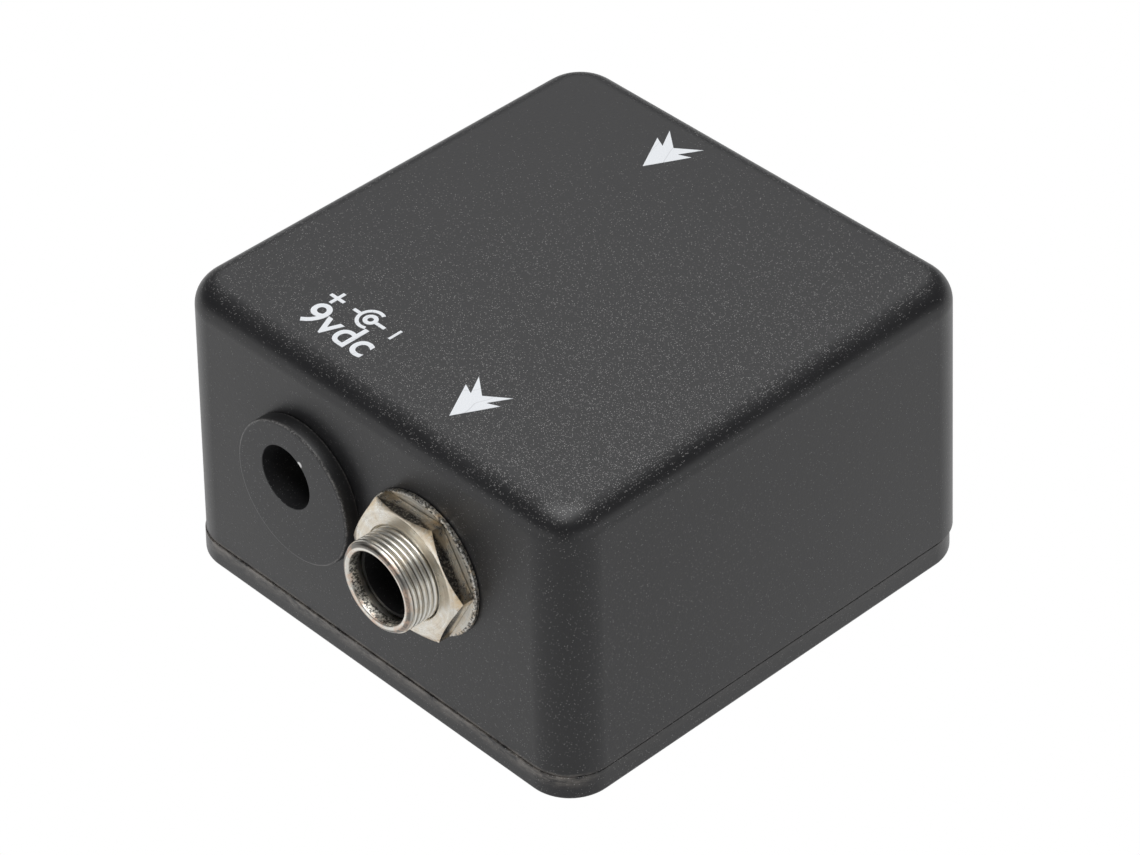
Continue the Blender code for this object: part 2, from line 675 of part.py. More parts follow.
def make_socket_contacts(prefix, panel):
    half = LEAF_THICKNESS / 2
    root = (LEAF_ROOT_X, 0, -LEAF_ROOT_DEPTH)
    tail = SOCKET_BORE_RADIUS + 2 * GAP + 3 * half
    tip_bump = TIP_BUMP_DEPTH - LEAF_ROOT_DEPTH
    bump = BUMP_RADIUS + half - LEAF_ROOT_X
    tip_path = [
        (0, 0),
        (-LEAF_BOW, -tip_bump / 3),
        (-LEAF_SAG, -tip_bump * 2 / 3),
        (bump + BUMP_RISE, -tip_bump + BUMP_HALF_LENGTH),
        (bump, -tip_bump),
        (bump + BUMP_RISE, -tip_bump - BUMP_HALF_LENGTH),
        (tail - LEAF_ROOT_X, -tip_bump - LEAF_RAMP),
        (tail - LEAF_ROOT_X, LEAF_ROOT_DEPTH - SWITCH_DEPTH - PIN_WIDTH / 2),
    ]
    ring_bump = RING_BUMP_DEPTH - LEAF_ROOT_DEPTH
    ring_path = [
        (0, 0),
        (RING_LEAF_BOW, -ring_bump / 3),
        (-bump - BUMP_RISE, -ring_bump + BUMP_HALF_LENGTH),
        (-bump, -ring_bump),
        (-bump - BUMP_RISE, -ring_bump - BUMP_HALF_LENGTH),
        (RING_LEAF_LIFT, -ring_bump - LEAF_RAMP),
        (RING_LEAF_BOW, -ring_bump - LEAF_WIDTH),
    ]
    size = (LEAF_WIDTH, LEAF_THICKNESS, SPRING_METAL)
    leaf(f"{prefix}_tip_spring", panel, root, tip_path, *size)
    leaf(f"{prefix}_ring_spring", panel, (-root[0], root[1], root[2]), ring_path, *size)

    def pin(name, x, z, half_x, half_z, top):
        low = (x - half_x, -PIN_FOOT, z - half_z)
        high = (x + half_x, top, z + half_z)
        box(f"{prefix}_{name}", low, high, material=SPRING_METAL, parent=panel)
        BOARD_SLOTS.append((panel.matrix_world @ Vector((x, -PIN_FOOT, z)), half_x, half_z))

    pin_z = -LEAF_ROOT_DEPTH + GAP + PIN_WIDTH / 2
    wide = PIN_WIDTH / 2
    pin("tip_terminal", LEAF_ROOT_X, pin_z, half, wide, LEAF_WIDTH / 2)
    pin("ring_terminal", -LEAF_ROOT_X, pin_z, half, wide, LEAF_WIDTH / 2)
    switch_x = SOCKET_BORE_RADIUS + GAP + half
    pin("switch_contact", switch_x, -SWITCH_DEPTH, half, wide, LEAF_WIDTH / 2)
    pin("sleeve_contact", 0, -SLEEVE_CONTACT_DEPTH, wide, half, -SOCKET_BORE_RADIUS - SEAT_GAP)


def make_dc_inlet():
    flange = INLET_FLANGE + SEAT_GAP
    profile = [
        (0, flange),
        (INLET_FLANGE_RADIUS - INLET_FLANGE_EDGE, flange),
        (INLET_FLANGE_RADIUS, flange - INLET_FLANGE_EDGE),
        (INLET_FLANGE_RADIUS, SEAT_GAP),
        (INLET_BARREL_RADIUS, SEAT_GAP),
        (INLET_BARREL_RADIUS, -INLET_DEPTH),
        (0, -INLET_DEPTH),
    ]
    body = turned("dc_inlet_body", profile, material=BLACK_PLASTIC, parent=INLET_PANEL)
    centre = (INLET_BORE_X, INLET_BORE_Y)

    def bore(shape):
        add_cylinder(
            shape, *centre, -INLET_BORE_DEPTH, flange + OVERCUT, INLET_BORE_RADIUS, ROUND_STEPS
        )

    def pin_hole(shape):
        low = -INLET_DEPTH - OVERCUT
        add_cylinder(shape, *centre, low, -INLET_BORE_DEPTH + OVERCUT, INLET_PIN_RADIUS + GAP)

    boolean(body, cutter("dc_inlet_bore", bore, INLET_PANEL))
    boolean(body, cutter("dc_inlet_pin_hole", pin_hole, INLET_PANEL))
    slot_half = INLET_LEAF_WIDTH / 2 + GAP
    slot_low = (INLET_BORE_X + INLET_BUMP / 2, INLET_BORE_Y - slot_half, -INLET_DEPTH - OVERCUT)
    slot_x = INLET_BORE_X + INLET_LEAF_OFFSET + INLET_LEAF_THICKNESS / 2 + 2 * GAP
    slot_high = (slot_x, INLET_BORE_Y + slot_half, GAP)
    boolean(body, box("dc_inlet_leaf_slot", slot_low, slot_high, parent=INLET_PANEL))
    tip = flange - INLET_PIN_RECESS
    tag_end = -INLET_DEPTH - TAG_LENGTH
    pin = [
        (0, tip),
        (INLET_PIN_RADIUS - INLET_PIN_ROUNDING, tip),
        (INLET_PIN_RADIUS, tip - INLET_PIN_ROUNDING),
        (INLET_PIN_RADIUS, -INLET_DEPTH - TAG_LENGTH / 3),
        (INLET_TAG_RADIUS, -INLET_DEPTH - TAG_LENGTH / 3),
        (INLET_TAG_RADIUS, tag_end),
        (0, tag_end),
    ]
    turned(
        "dc_inlet_pin", pin, SMALL_STEPS, material=NICKEL, parent=INLET_PANEL, place=(*centre, 0)
    )
    leaf_x = INLET_BORE_X + INLET_LEAF_OFFSET
    bump = INLET_BUMP + INLET_LEAF_THICKNESS / 2 - INLET_LEAF_OFFSET
    reach = INLET_LEAF_ROOT
    path = [
        (0, 0),
        (-INLET_LEAF_BOW, reach * 0.5),
        (bump, reach * 0.76),
        (bump, reach * 0.80),
        (-INLET_LEAF_LIFT, reach * 0.93),
    ]
    root = (leaf_x, INLET_BORE_Y, -INLET_LEAF_ROOT)
    size = (INLET_LEAF_WIDTH, INLET_LEAF_THICKNESS, SPRING_METAL)
    leaf("dc_inlet_sleeve_spring", INLET_PANEL, root, path, *size)
    half_x = INLET_LEAF_THICKNESS / 2
    half_y = INLET_LEAF_WIDTH / 2
    box(
        "dc_inlet_sleeve_tag",
        (leaf_x - half_x, INLET_BORE_Y - half_y, tag_end),
        (leaf_x + half_x, INLET_BORE_Y + half_y, -INLET_LEAF_ROOT - GAP),
        material=SPRING_METAL,
        parent=INLET_PANEL,
    )
    nut_high = -WALL - GAP
    hexagon(
        "dc_inlet_nut",
        INLET_PANEL,
        INLET_NUT_ACROSS_FLATS,
        nut_high - INLET_NUT_THICKNESS,
        nut_high,
        INLET_BARREL_RADIUS + GAP,
        math.radians(90),
    )


def lead_pair(shape, span):
    foot = LEAD_FOOT - BOARD_TOP
    for side in (-1, 1):
        add_cylinder(shape, side * span / 2, 0, foot, LEAD_TOP, LEAD_RADIUS, LEAD_STEPS)


def place_component(name, mesh, material, x, y, turn, leads):
    """Stands a component on the board. Its mesh has its zero height on the board's top face."""
    obj = new_object(name, mesh, material=material, place=(x, y, BOARD_TOP))
    obj.rotation_euler = (0, 0, turn)
    rotation = Matrix.Rotation(turn, 2)
    for lead in leads:
        BOARD_HOLES.append(rotation @ Vector(lead) + Vector((x, y)))
    return obj


def bent_lead_mesh(span, height):
    """A round wire bent into a staple, as a closed mesh."""
    foot = LEAD_FOOT - BOARD_TOP
    points = [(-span / 2, foot), (-span / 2, height), (span / 2, height), (span / 2, foot)]
    curve = bpy.data.curves.new("bent_lead", "CURVE")
    curve.dimensions = "3D"
    curve.bevel_depth = LEAD_RADIUS
    curve.bevel_resolution = 1
    curve.use_fill_caps = True
    spline = curve.splines.new("POLY")
    spline.points.add(len(points) - 1)
    for point, (x, z) in zip(spline.points, points):
        point.co = (x, 0, z, 1)
    obj = bpy.data.objects.new("bent_lead", curve)
    CUTTERS.objects.link(obj)
    mesh = evaluated_mesh(obj, "bent_lead")
    shape = bmesh.new()
    shape.from_mesh(mesh)
    bmesh.ops.remove_doubles(shape, verts=shape.verts, dist=TOLERANCE / 10)
    bmesh.ops.recalc_face_normals(shape, faces=shape.faces)
    shape.to_mesh(mesh)
    shape.free()
    return mesh


def axial_mesh(name, length, radius, waist):
    """An axial component: a dog-bone body on a bent lead."""
    height = radius + GAP
    half = length / 2
    profile = [
        (0, half),
        (radius * 0.6, half),
        (radius, half * 0.86),
        (radius, half * 0.6),
        (waist, half * 0.5),
        (waist, -half * 0.5),
        (radius, -half * 0.6),
        (radius, -half * 0.86),
        (radius * 0.6, -half),
        (0, -half),
    ]
    body = turned(f"{name}_body", profile, AXIAL_STEPS)
    body.matrix_world = Matrix.Translation((0, 0, height)) @ Matrix.Rotation(math.pi / 2, 4, "Y")
    leads = new_object(f"{name}_leads", bent_lead_mesh(LEAD_SPAN, height))
    boolean(leads, body, "UNION")
    mesh = evaluated_mesh(leads, name)
    bpy.data.objects.remove(body, do_unlink=True)
    return mesh


def resistor_columns(side):
    """Distances from the middle of two columns between a socket's housing and the board's edge."""
    socket_x = OUTPUT_SOCKET_X if side > 0 else -INPUT_SOCKET_X
    near = socket_x + HOUSING_HALF
    room = (BOARD_HALF_X - near - 4 * RESISTOR_RADIUS) / 3
    return near + room + RESISTOR_RADIUS, BOARD_HALF_X - room - RESISTOR_RADIUS


def make_resistors():
    mesh = axial_mesh("resistor", RESISTOR_LENGTH, RESISTOR_RADIUS, RESISTOR_WAIST)
    leads = [(-LEAD_SPAN / 2, 0), (LEAD_SPAN / 2, 0)]
    row = (LEAD_SPAN + RESISTOR_ROW_ROOM) / 2
    spots = [(-x, y) for y in (-row, row) for x in resistor_columns(-1)]
    spots += [(x, RESISTOR_FRONT_Y) for x in resistor_columns(1)]
    for number, (x, y) in enumerate(spots, 1):
        place_component(f"resistor_{number}", mesh, RESISTOR_BLUE, x, y, math.pi / 2, leads)


def make_diode():
    mesh = axial_mesh("diode", DIODE_LENGTH, DIODE_RADIUS, DIODE_WAIST)
    leads = [(-LEAD_SPAN / 2, 0), (LEAD_SPAN / 2, 0)]
    y = -wall_y(INLET_HEIGHT) + INLET_DEPTH + TAG_LENGTH + DIODE_BEHIND_TAG
    place_component("protection_diode", mesh, EPOXY, INLET_X, y, 0, leads)


def electrolytic_mesh(name, radius, height, span):
    """An upright can with a crimp groove near its foot and a rounded shoulder."""
    profile = [
        (0, height),
        (radius - CAN_EDGE, height),
        (radius, height - CAN_EDGE),
        (radius, CAN_GROOVE_HEIGHT + CAN_GROOVE_HALF),
        (radius - CAN_EDGE, CAN_GROOVE_HEIGHT),
        (radius, CAN_GROOVE_HEIGHT - CAN_GROOVE_HALF),
        (radius, GAP),
        (0, GAP),
    ]
    can = turned(f"{name}_can", profile, CAN_STEPS)

    def build(shape):
        lead_pair(shape, span)

    legs = cutter(f"{name}_legs", build)
    boolean(can, legs, "UNION")
    mesh = evaluated_mesh(can, name)
    bpy.data.objects.remove(legs, do_unlink=True)
    return mesh


def make_electrolytics():
    y = RESISTOR_FRONT_Y + LEAD_SPAN / 2 + LEAD_RADIUS + CAN_ROOM
    for number, (radius, height, span) in reversed(list(enumerate(CAN_SIZES, 1))):
        name = f"electrolytic_capacitor_{number}"
        leads = [(-span / 2, 0), (span / 2, 0)]
        mesh = electrolytic_mesh(name, radius, height, span)
        x = BOARD_HALF_X - radius - GAP
        y += radius
        place_component(name, mesh, CAN_SLEEVE, x, y, math.pi / 2, leads)
        y += radius + CAN_ROOM


def make_film_capacitors():
    half = FILM_SIZE / 2

    def block(shape):
        verts = add_box(shape, (-half.x, -half.y, GAP), (half.x, half.y, GAP + FILM_SIZE.z))
        edges = {edge for vert in verts for edge in vert.link_edges}
        bmesh.ops.bevel(
            shape, geom=list(edges), offset=FILM_EDGE, segments=1, profile=0.5, affect="EDGES"
        )

    def legs(shape):
        lead_pair(shape, FILM_SPAN)

    body = cutter("film_body", block)
    pins = cutter("film_legs", legs)
    boolean(body, pins, "UNION")
    mesh = evaluated_mesh(body, "film_capacitor")
    bpy.data.objects.remove(pins, do_unlink=True)
    leads = [(-FILM_SPAN / 2, 0), (FILM_SPAN / 2, 0)]
    for number, side in enumerate((-1, 1), 1):
        x = CHIP_X + FILM_SIDESTEP + side * FILM_PITCH / 2
        place_component(f"film_capacitor_{number}", mesh, FILM_BOX, x, FILM_Y, 0, leads)


def make_op_amp():
    """An eight-leg dual in-line chip."""
    half = DIP_SIZE / 2
    first = -(DIP_LEGS_PER_SIDE - 1) / 2
    steps = [(first + index) * DIP_PITCH for index in range(DIP_LEGS_PER_SIDE)]
    leads = [(x, side * DIP_ROW / 2) for x in steps for side in (-1, 1)]
    shoulder = DIP_STANDOFF + half.z
    leg_half = DIP_LEG_THICKNESS / 2

    def chip(shape):
        low = (-half.x, -half.y, DIP_STANDOFF)
        verts = add_box(shape, low, (half.x, half.y, DIP_STANDOFF + DIP_SIZE.z))
        upper = [vert for vert in verts if vert.co.z > shoulder]
        bmesh.ops.scale(shape, vec=DIP_TOP_TAPER, verts=upper)

    def shoulders(shape):
        inner = half.y - DIP_SHOULDER_BITE
        outer = DIP_ROW / 2 + leg_half + DIP_SHOULDER_OVERHANG
        for x, y in leads:
            near, far = sorted((math.copysign(inner, y), math.copysign(outer, y)))
            low = (x - DIP_SHOULDER_WIDTH / 2, near, shoulder - DIP_SHOULDER_THICKNESS)
            add_box(shape, low, (x + DIP_SHOULDER_WIDTH / 2, far, shoulder))

    def legs(shape):
        top = shoulder - DIP_SHOULDER_THICKNESS / 2
        for x, y in leads:
            low = (x - DIP_LEG_WIDTH / 2, y - leg_half, LEAD_FOOT - BOARD_TOP)
            add_box(shape, low, (x + DIP_LEG_WIDTH / 2, y + leg_half, top))

    body = cutter("chip_body", chip)
    helpers = [cutter("chip_shoulders", shoulders), cutter("chip_legs", legs)]
    for helper in helpers:
        boolean(body, helper, "UNION")
    mesh = evaluated_mesh(body, "op_amp")
    for helper in helpers:
        bpy.data.objects.remove(helper, do_unlink=True)
    place_component("op_amp", mesh, EPOXY, CHIP_X, CHIP_Y, 0, leads)


def smooth_route(points, count):
    """Points along a Catmull-Rom curve through the given ones."""
    ends = [2 * points[0] - points[1], *points, 2 * points[-1] - points[-2]]
    route = []
    spans = len(points) - 1
    for index in range(count + 1):
        position = index / count * spans
        span = min(int(position), spans - 1)
        t = position - span
        a, b, c, d = ends[span : span + 4]
        route.append(
            0.5
            * (
                2 * b
                + (c - a) * t
                + (2 * a - 5 * b + 4 * c - d) * t * t
                + (3 * b - a - 3 * c + d) * t**3
            )
        )
    return route


def wire(name, points, material):
    curve = bpy.data.curves.new(name, "CURVE")
    curve.dimensions = "3D"
    curve.bevel_depth = WIRE_RADIUS
    curve.bevel_resolution = 2
    curve.use_fill_caps = True
    route = smooth_route([Vector(point) for point in points], WIRE_STEPS)
    spline = curve.splines.new("POLY")
    spline.points.add(len(route) - 1)
    for spot, point in zip(spline.points, route):
        spot.co = (*point, 1)
    curve.materials.append(material)
    PARTS.objects.link(bpy.data.objects.new(name, curve))


def make_wires():
    """Two wires from the inlet's tags down to the board."""
    back = -INLET_DEPTH - TAG_LENGTH - GAP - WIRE_RADIUS
    foot = BOARD_TOP + GAP
    leaf_x = INLET_BORE_X + INLET_LEAF_OFFSET
    for name, x, sway, material in (
        ("positive_wire", leaf_x, WIRE_SWAY, RED_WIRE),
        ("negative_wire", INLET_BORE_X, -WIRE_SWAY, BLACK_WIRE),
    ):
        start = INLET_PANEL.matrix_world @ Vector((x, INLET_BORE_Y, back))
        points = [
            start,
            start + Vector((0, WIRE_BEND, 0)),
            (start.x + sway / 2, start.y + 2 * WIRE_BEND, (start.z + foot) / 2 + WIRE_BEND),
            (start.x + sway, start.y + WIRE_BEND, foot + 2 * WIRE_BEND),
            (start.x + sway, start.y, foot),
        ]
        wire(name, points, material)


def make_board():
    board = box(
        "circuit_board",
        (-BOARD_HALF_X, -BOARD_HALF_Y, BOARD_BOTTOM),
        (BOARD_HALF_X, BOARD_HALF_Y, BOARD_TOP),
        material=BOARD_GREEN,
    )
    low, high = BOARD_BOTTOM - OVERCUT, BOARD_TOP + OVERCUT
    boolean(board, corner_blocks("board_notches", BOARD_NOTCH_REACH, low, high))

    def holes(shape):
        for spot, half_width, half_depth in BOARD_SLOTS:
            room = Vector((half_width + GAP, half_depth + GAP))
            start = (spot.x - room.x, spot.y - room.y, low)
            add_box(shape, start, (spot.x + room.x, spot.y + room.y, high))
        for spot in BOARD_HOLES:
            add_cylinder(shape, spot.x, spot.y, low, high, LEAD_RADIUS + GAP, LEAD_STEPS)

    boolean(board, cutter("board_holes", holes))


make_case()
make_cover()
make_cover_screws()
make_insulating_sheet()
for socket_name, socket_panel in (("output_jack", OUTPUT_PANEL), ("input_jack", INPUT_PANEL)):
    make_socket_metalwork(socket_name, socket_panel)
    make_socket_housing(socket_name, socket_panel)
    make_socket_contacts(socket_name, socket_panel)
make_dc_inlet()
make_op_amp()
make_electrolytics()
make_film_capacitors()
make_resistors()
make_diode()
make_board()
make_wires()
bpy.context.view_layer.update()
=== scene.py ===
import contextlib
import json
import math

import bmesh
import bpy
from mathutils import Matrix, Vector


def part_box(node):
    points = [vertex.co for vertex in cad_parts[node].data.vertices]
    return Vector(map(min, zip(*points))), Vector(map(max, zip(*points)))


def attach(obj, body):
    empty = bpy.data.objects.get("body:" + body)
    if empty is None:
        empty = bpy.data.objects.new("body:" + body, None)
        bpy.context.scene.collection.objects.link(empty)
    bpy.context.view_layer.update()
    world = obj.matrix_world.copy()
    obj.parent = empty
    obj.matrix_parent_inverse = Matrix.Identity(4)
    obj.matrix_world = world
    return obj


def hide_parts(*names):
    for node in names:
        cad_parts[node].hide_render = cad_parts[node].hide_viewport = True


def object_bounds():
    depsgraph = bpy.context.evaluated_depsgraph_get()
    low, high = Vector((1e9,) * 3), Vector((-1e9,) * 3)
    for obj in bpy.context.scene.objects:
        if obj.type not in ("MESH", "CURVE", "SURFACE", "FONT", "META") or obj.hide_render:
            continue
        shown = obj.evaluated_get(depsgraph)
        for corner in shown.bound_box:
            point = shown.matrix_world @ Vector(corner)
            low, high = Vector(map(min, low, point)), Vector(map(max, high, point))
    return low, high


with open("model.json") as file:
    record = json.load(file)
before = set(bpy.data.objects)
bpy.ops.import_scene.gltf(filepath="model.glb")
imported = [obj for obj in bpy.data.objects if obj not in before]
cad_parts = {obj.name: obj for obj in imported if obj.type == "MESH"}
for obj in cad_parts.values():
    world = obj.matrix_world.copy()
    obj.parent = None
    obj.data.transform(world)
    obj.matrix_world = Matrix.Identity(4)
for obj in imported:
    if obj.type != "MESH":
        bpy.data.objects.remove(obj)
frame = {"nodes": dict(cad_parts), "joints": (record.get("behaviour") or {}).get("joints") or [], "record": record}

bl_info = {
    "name": "Die-cast direct injection box",
    "version": (1, 0, 0),
    "blender": (4, 5, 0),
    "location": "3D View > Sidebar > Injection Box",
    "description": "Builds the finished look of a small powder-coated direct injection box",
    "category": "Add Mesh",
}

CAD_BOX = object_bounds()
NODES = frame["nodes"]
MOUNTS = {mount["name"]: mount for mount in frame["record"]["mounts"]}
CORNERS = [(x, y) for x in (-1, 1) for y in (-1, 1)]
TINY = 0.000001  # points closer than this count as one
OVERCUT = 0.001  # how far a cutting tool reaches past what it cuts

# Enclosure, in metres
TAPER = math.tan(math.radians(1.2))
WALL = 0.0020
ROOF = 0.0022
CORNER_RADIUS = 0.0044
RIM_EDGE = 0.0004
RIM_BEVEL = 0.00008
SEAM_HEIGHT = 0.0025
SEAM_GAP = 0.00003
COVER_PLATE = 0.0020
COVER_LIP_WALL = 0.0012
COVER_SHRINK = 0.00015
COVER_SHIFT = 0.00028
BOSS_RADIUS = 0.0033
CLEARANCE = 0.0003
SCREW_HOLE = 0.00155
SOCKET_HOLE = 0.0047
INLET_HOLE = 0.0063
SINK_START = -0.0006
SINK_RADIUS = 0.0040
SINK_TIP = 0.0006

# Screws
HEAD_RADIUS = 0.0027
SHANK_RADIUS = 0.00125
SCREW_PITCH = 0.0005
SCREW_THREAD_DEPTH = 0.00022
SCREW_THREAD_START = 0.0030
RECESS_HALF_WIDTH = 0.00034
RECESS_REACH = 0.00105
RECESS_DEPTH = 0.0014

# Sockets
RIM_PROUD = 0.00545
MOUTH_RADIUS = 0.00342
MOUTH_DEPTH = 0.0010
BORE_RADIUS = 0.00385
THREAD_RADIUS = 0.0044
THREAD_SINK = 0.0001
THREAD_LOW, THREAD_HIGH = 0.0016, 0.00492
FLANGE_RADIUS = 0.0056
FLANGE_TOP, FLANGE_FOOT = -0.0023, -0.0033
WASHER_HOLE = 0.0046
WASHER_SHIFT = (0.00016, 0.00002)
WASHER_FOOT, WASHER_TOP = 0.00005, 0.00055
NUT_ACROSS = 0.0120
NUT_CORNER = NUT_ACROSS / math.sqrt(3)
NUT_FOOT, NUT_TOP = 0.00062, 0.00235
NUT_FALL = (NUT_CORNER - NUT_ACROSS / 2) * 0.62
NUT_FACE_RADIUS = NUT_ACROSS / 2 - 0.00012
NUT_TURN = math.radians(2.3)

# Low-voltage inlet, in its panel's frame
INLET_LIFT = -0.0045
INLET_FACE = 0.0016
INLET_FLANGE = 0.0071
INLET_BARREL = 0.0060
INLET_BACK = -0.0130
INLET_BORE = 0.00311
INLET_AXIS = (-0.0007, 0.0014)
# Where a painted glint sits on the inlet's bore mouth
INLET_GLINT = (0.00130, 0.00392, INLET_FACE)
PIN_TIP = INLET_FACE - 0.0046

# Printed marks, in millimetres from the middle of the top
OUTPUT_ARROW = (-0.65, -20.65, 5.36, 2.13)
INPUT_ARROW = (0.0, 15.7, 5.55, 2.18)
MARK_ROW = -16.5
PLUS_X, PLUS_ARM = -12.1, 0.88
RING_X = -7.82
LETTERS_AT, LETTERS_SIZE = (-12.9, -20.75), 4.45


def mount_frame(mount_name, node, proud, lift=0.0):
    """Origin on the drafted wall: x across the panel, y up it and z straight out of it."""
    mount = MOUNTS[mount_name]
    out = Vector(mount["axis"]).normalized()
    across = Vector((0, 0, 1)).cross(out).normalized()
    up = out.cross(across)
    low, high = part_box(node)
    spot = Vector(mount["pos_m"]) - out * proud - up * lift
    spot.x = (low.x + high.x) / 2
    return Matrix.Translation(spot) @ Matrix((across, up, out)).transposed().to_4x4()


PANELS = {
    side: mount_frame(f"{side}_socket_rim", f"{side}_jack_bushing", RIM_PROUD)
    for side in ("output", "input")
}
INLET_PANEL = mount_frame("dc_inlet_face", "dc_inlet_body", INLET_FACE, INLET_LIFT)
CASE_LOW, CASE_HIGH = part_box("case")
COVER_LOW, COVER_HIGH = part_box("bottom_cover")
BOARD_LOW, BOARD_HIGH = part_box("circuit_board")
COVER_RIM = COVER_LOW.z + SEAM_HEIGHT
HALF_X = CASE_HIGH.x + TAPER * (CASE_LOW.z + RIM_EDGE)
HALF_Y = CASE_HIGH.y + TAPER * (CASE_LOW.z + RIM_EDGE)
SCREWS = [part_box(f"cover_screw_{number}") for number in (1, 2, 3, 4)]
SCREW_X = (SCREWS[3][0].x + SCREWS[3][1].x) / 2
SCREW_Y = (SCREWS[3][0].y + SCREWS[3][1].y) / 2


# Modelling steps


def only(obj):
    """Selects one object and makes it the active one."""
    bpy.ops.object.select_all(action="DESELECT")
    obj.select_set(True)
    bpy.context.view_layer.objects.active = obj


@contextlib.contextmanager
def edit(obj):
    only(obj)
    bpy.ops.object.mode_set(mode="EDIT")
    yield
    bpy.ops.object.mode_set(mode="OBJECT")


def choose(kind, test=lambda item: True):
    """Selects the edited mesh's points, edges or faces that pass the test, and nothing else."""
    bpy.ops.mesh.select_mode(type=kind)
    bpy.ops.mesh.select_all(action="DESELECT")
    mesh = bpy.context.edit_object.data
    shape = bmesh.from_edit_mesh(mesh)
    shape.normal_update()
    for item in {"VERT": shape.verts, "EDGE": shape.edges, "FACE": shape.faces}[kind]:
        if test(item):
            item.select_set(True)
    shape.select_flush_mode()
    bmesh.update_edit_mesh(mesh)


def level(height, tolerance=0.00002):
    return lambda edge: all(abs(vert.co.z - height) < tolerance for vert in edge.verts)


def upright(edge):
    start, end = (vert.co for vert in edge.verts)
    return abs(start.z - end.z) > TINY


def round_edges(width, segments):
    bpy.ops.mesh.bevel(offset=width, segments=segments, profile=0.5, affect="EDGES")


def named(obj, name):
    obj.name = obj.data.name = name
    return obj


def primitive(name, add, **settings):
    """Adds a primitive at its size and place, and puts that place in its mesh."""
    bpy.ops.object.select_all(action="DESELECT")
    add(**settings)
    bpy.ops.object.transform_apply(location=True, rotation=True, scale=True)
    return named(bpy.context.object, name)


def box(name, low, high):
    low, high = Vector(low), Vector(high)
    add = bpy.ops.mesh.primitive_cube_add
    return primitive(name, add, size=1, location=(low + high) / 2, scale=high - low)


def cylinder(name, x, y, low, high, radius, steps=48, top=None):
    return primitive(
        name,
        bpy.ops.mesh.primitive_cone_add,
        vertices=steps,
        radius1=radius,
        radius2=radius if top is None else top,
        depth=high - low,
        location=(x, y, (low + high) / 2),
    )


def draw(name, points, fill=False):
    """An outline drawn by extruding one point to the next."""
    points = [Vector(point) for point in points]
    bpy.ops.object.select_all(action="DESELECT")
    bpy.ops.mesh.primitive_plane_add(size=0.001)
    obj = named(bpy.context.object, name)
    with edit(obj):
        choose("VERT")
        bpy.ops.mesh.merge(type="CENTER")
        bpy.ops.transform.translate(value=points[0])
        for start, end in zip(points, points[1:]):
            bpy.ops.mesh.extrude_vertices_move(TRANSFORM_OT_translate={"value": end - start})
        if fill:
            choose("VERT")
            bpy.ops.mesh.edge_face_add()
    return obj


def cleaned(obj):
    """Merges doubles, then turns every face outwards."""
    with edit(obj):
        choose("VERT")
        bpy.ops.mesh.remove_doubles(threshold=TINY)
        bpy.ops.mesh.normals_make_consistent(inside=False)
    return obj


def turned(name, profile, steps=96, closed=True):
    """A shape turned about Z from (radius, height) points."""
    points = [(radius, 0, height) for radius, height in profile]
    obj = draw(name, points + points[:1] if closed else points)
    with edit(obj):
        choose("VERT")
        bpy.ops.mesh.spin(steps=steps, angle=math.tau, center=(0, 0, 0), axis=(0, 0, 1))
    return cleaned(obj)


def applied(obj, kind, **settings):
    """Adds a modifier with these settings and applies it."""
    only(obj)
    modifier = obj.modifiers.new("step", kind)
    for setting, value in settings.items():
        setattr(modifier, setting, value)
    bpy.ops.object.modifier_apply(modifier=modifier.name)
    return obj


def carve(obj, tool, operation="DIFFERENCE"):
    applied(obj, "BOOLEAN", operation=operation, solver="EXACT", object=tool)
    bpy.data.objects.remove(tool, do_unlink=True)
    return obj


def joined(name, parts):
    bpy.ops.object.select_all(action="DESELECT")
    for part in parts:
        part.select_set(True)
    bpy.context.view_layer.objects.active = parts[0]
    if len(parts) > 1:
        bpy.ops.object.join()
    return named(bpy.context.object, name)


def duplicate(obj, name):
    twin = obj.copy()
    twin.data = obj.data.copy()
    bpy.context.scene.collection.objects.link(twin)
    return named(twin, name)


def placed(obj, place):
    """Moves a piece to its place and keeps its object at the origin."""
    only(obj)
    obj.matrix_world = place
    bpy.ops.object.transform_apply(location=True, rotation=True, scale=True)
    return obj


def smooth(obj, angle=30, weighted=False):
    only(obj)
    bpy.ops.object.shade_smooth_by_angle(angle=math.radians(angle), keep_sharp_edges=False)
    if weighted:
        applied(obj, "WEIGHTED_NORMAL", keep_sharp=True, weight=100)
    return obj


def finished(obj, body, finish, slot, *nodes):
    """Gives a piece its finish and its body, and hides the CAD nodes that it stands for."""
    obj.data.materials.clear()
    obj.data.materials.append(bpy.data.materials[finish])
    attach(obj, body)
    if nodes:
        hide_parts(*nodes)
    return obj


def drafted_block(name, half_x, half_y, low, high, corner):
    """A block with drafted walls and round corners. Its half sizes are those at height zero."""
    foot = Vector((half_x - TAPER * low, half_y - TAPER * low))
    top = Vector((half_x - TAPER * high, half_y - TAPER * high))
    block = box(name, (-foot.x, -foot.y, low), (foot.x, foot.y, high))
    with edit(block):
        choose("FACE", lambda face: face.normal.z > 0.9)
        narrowed = (top.x / foot.x, top.y / foot.y, 1)
        bpy.ops.transform.resize(value=narrowed, center_override=(0, 0, high))
        choose("EDGE", upright)
        round_edges(corner, 16)
    return block


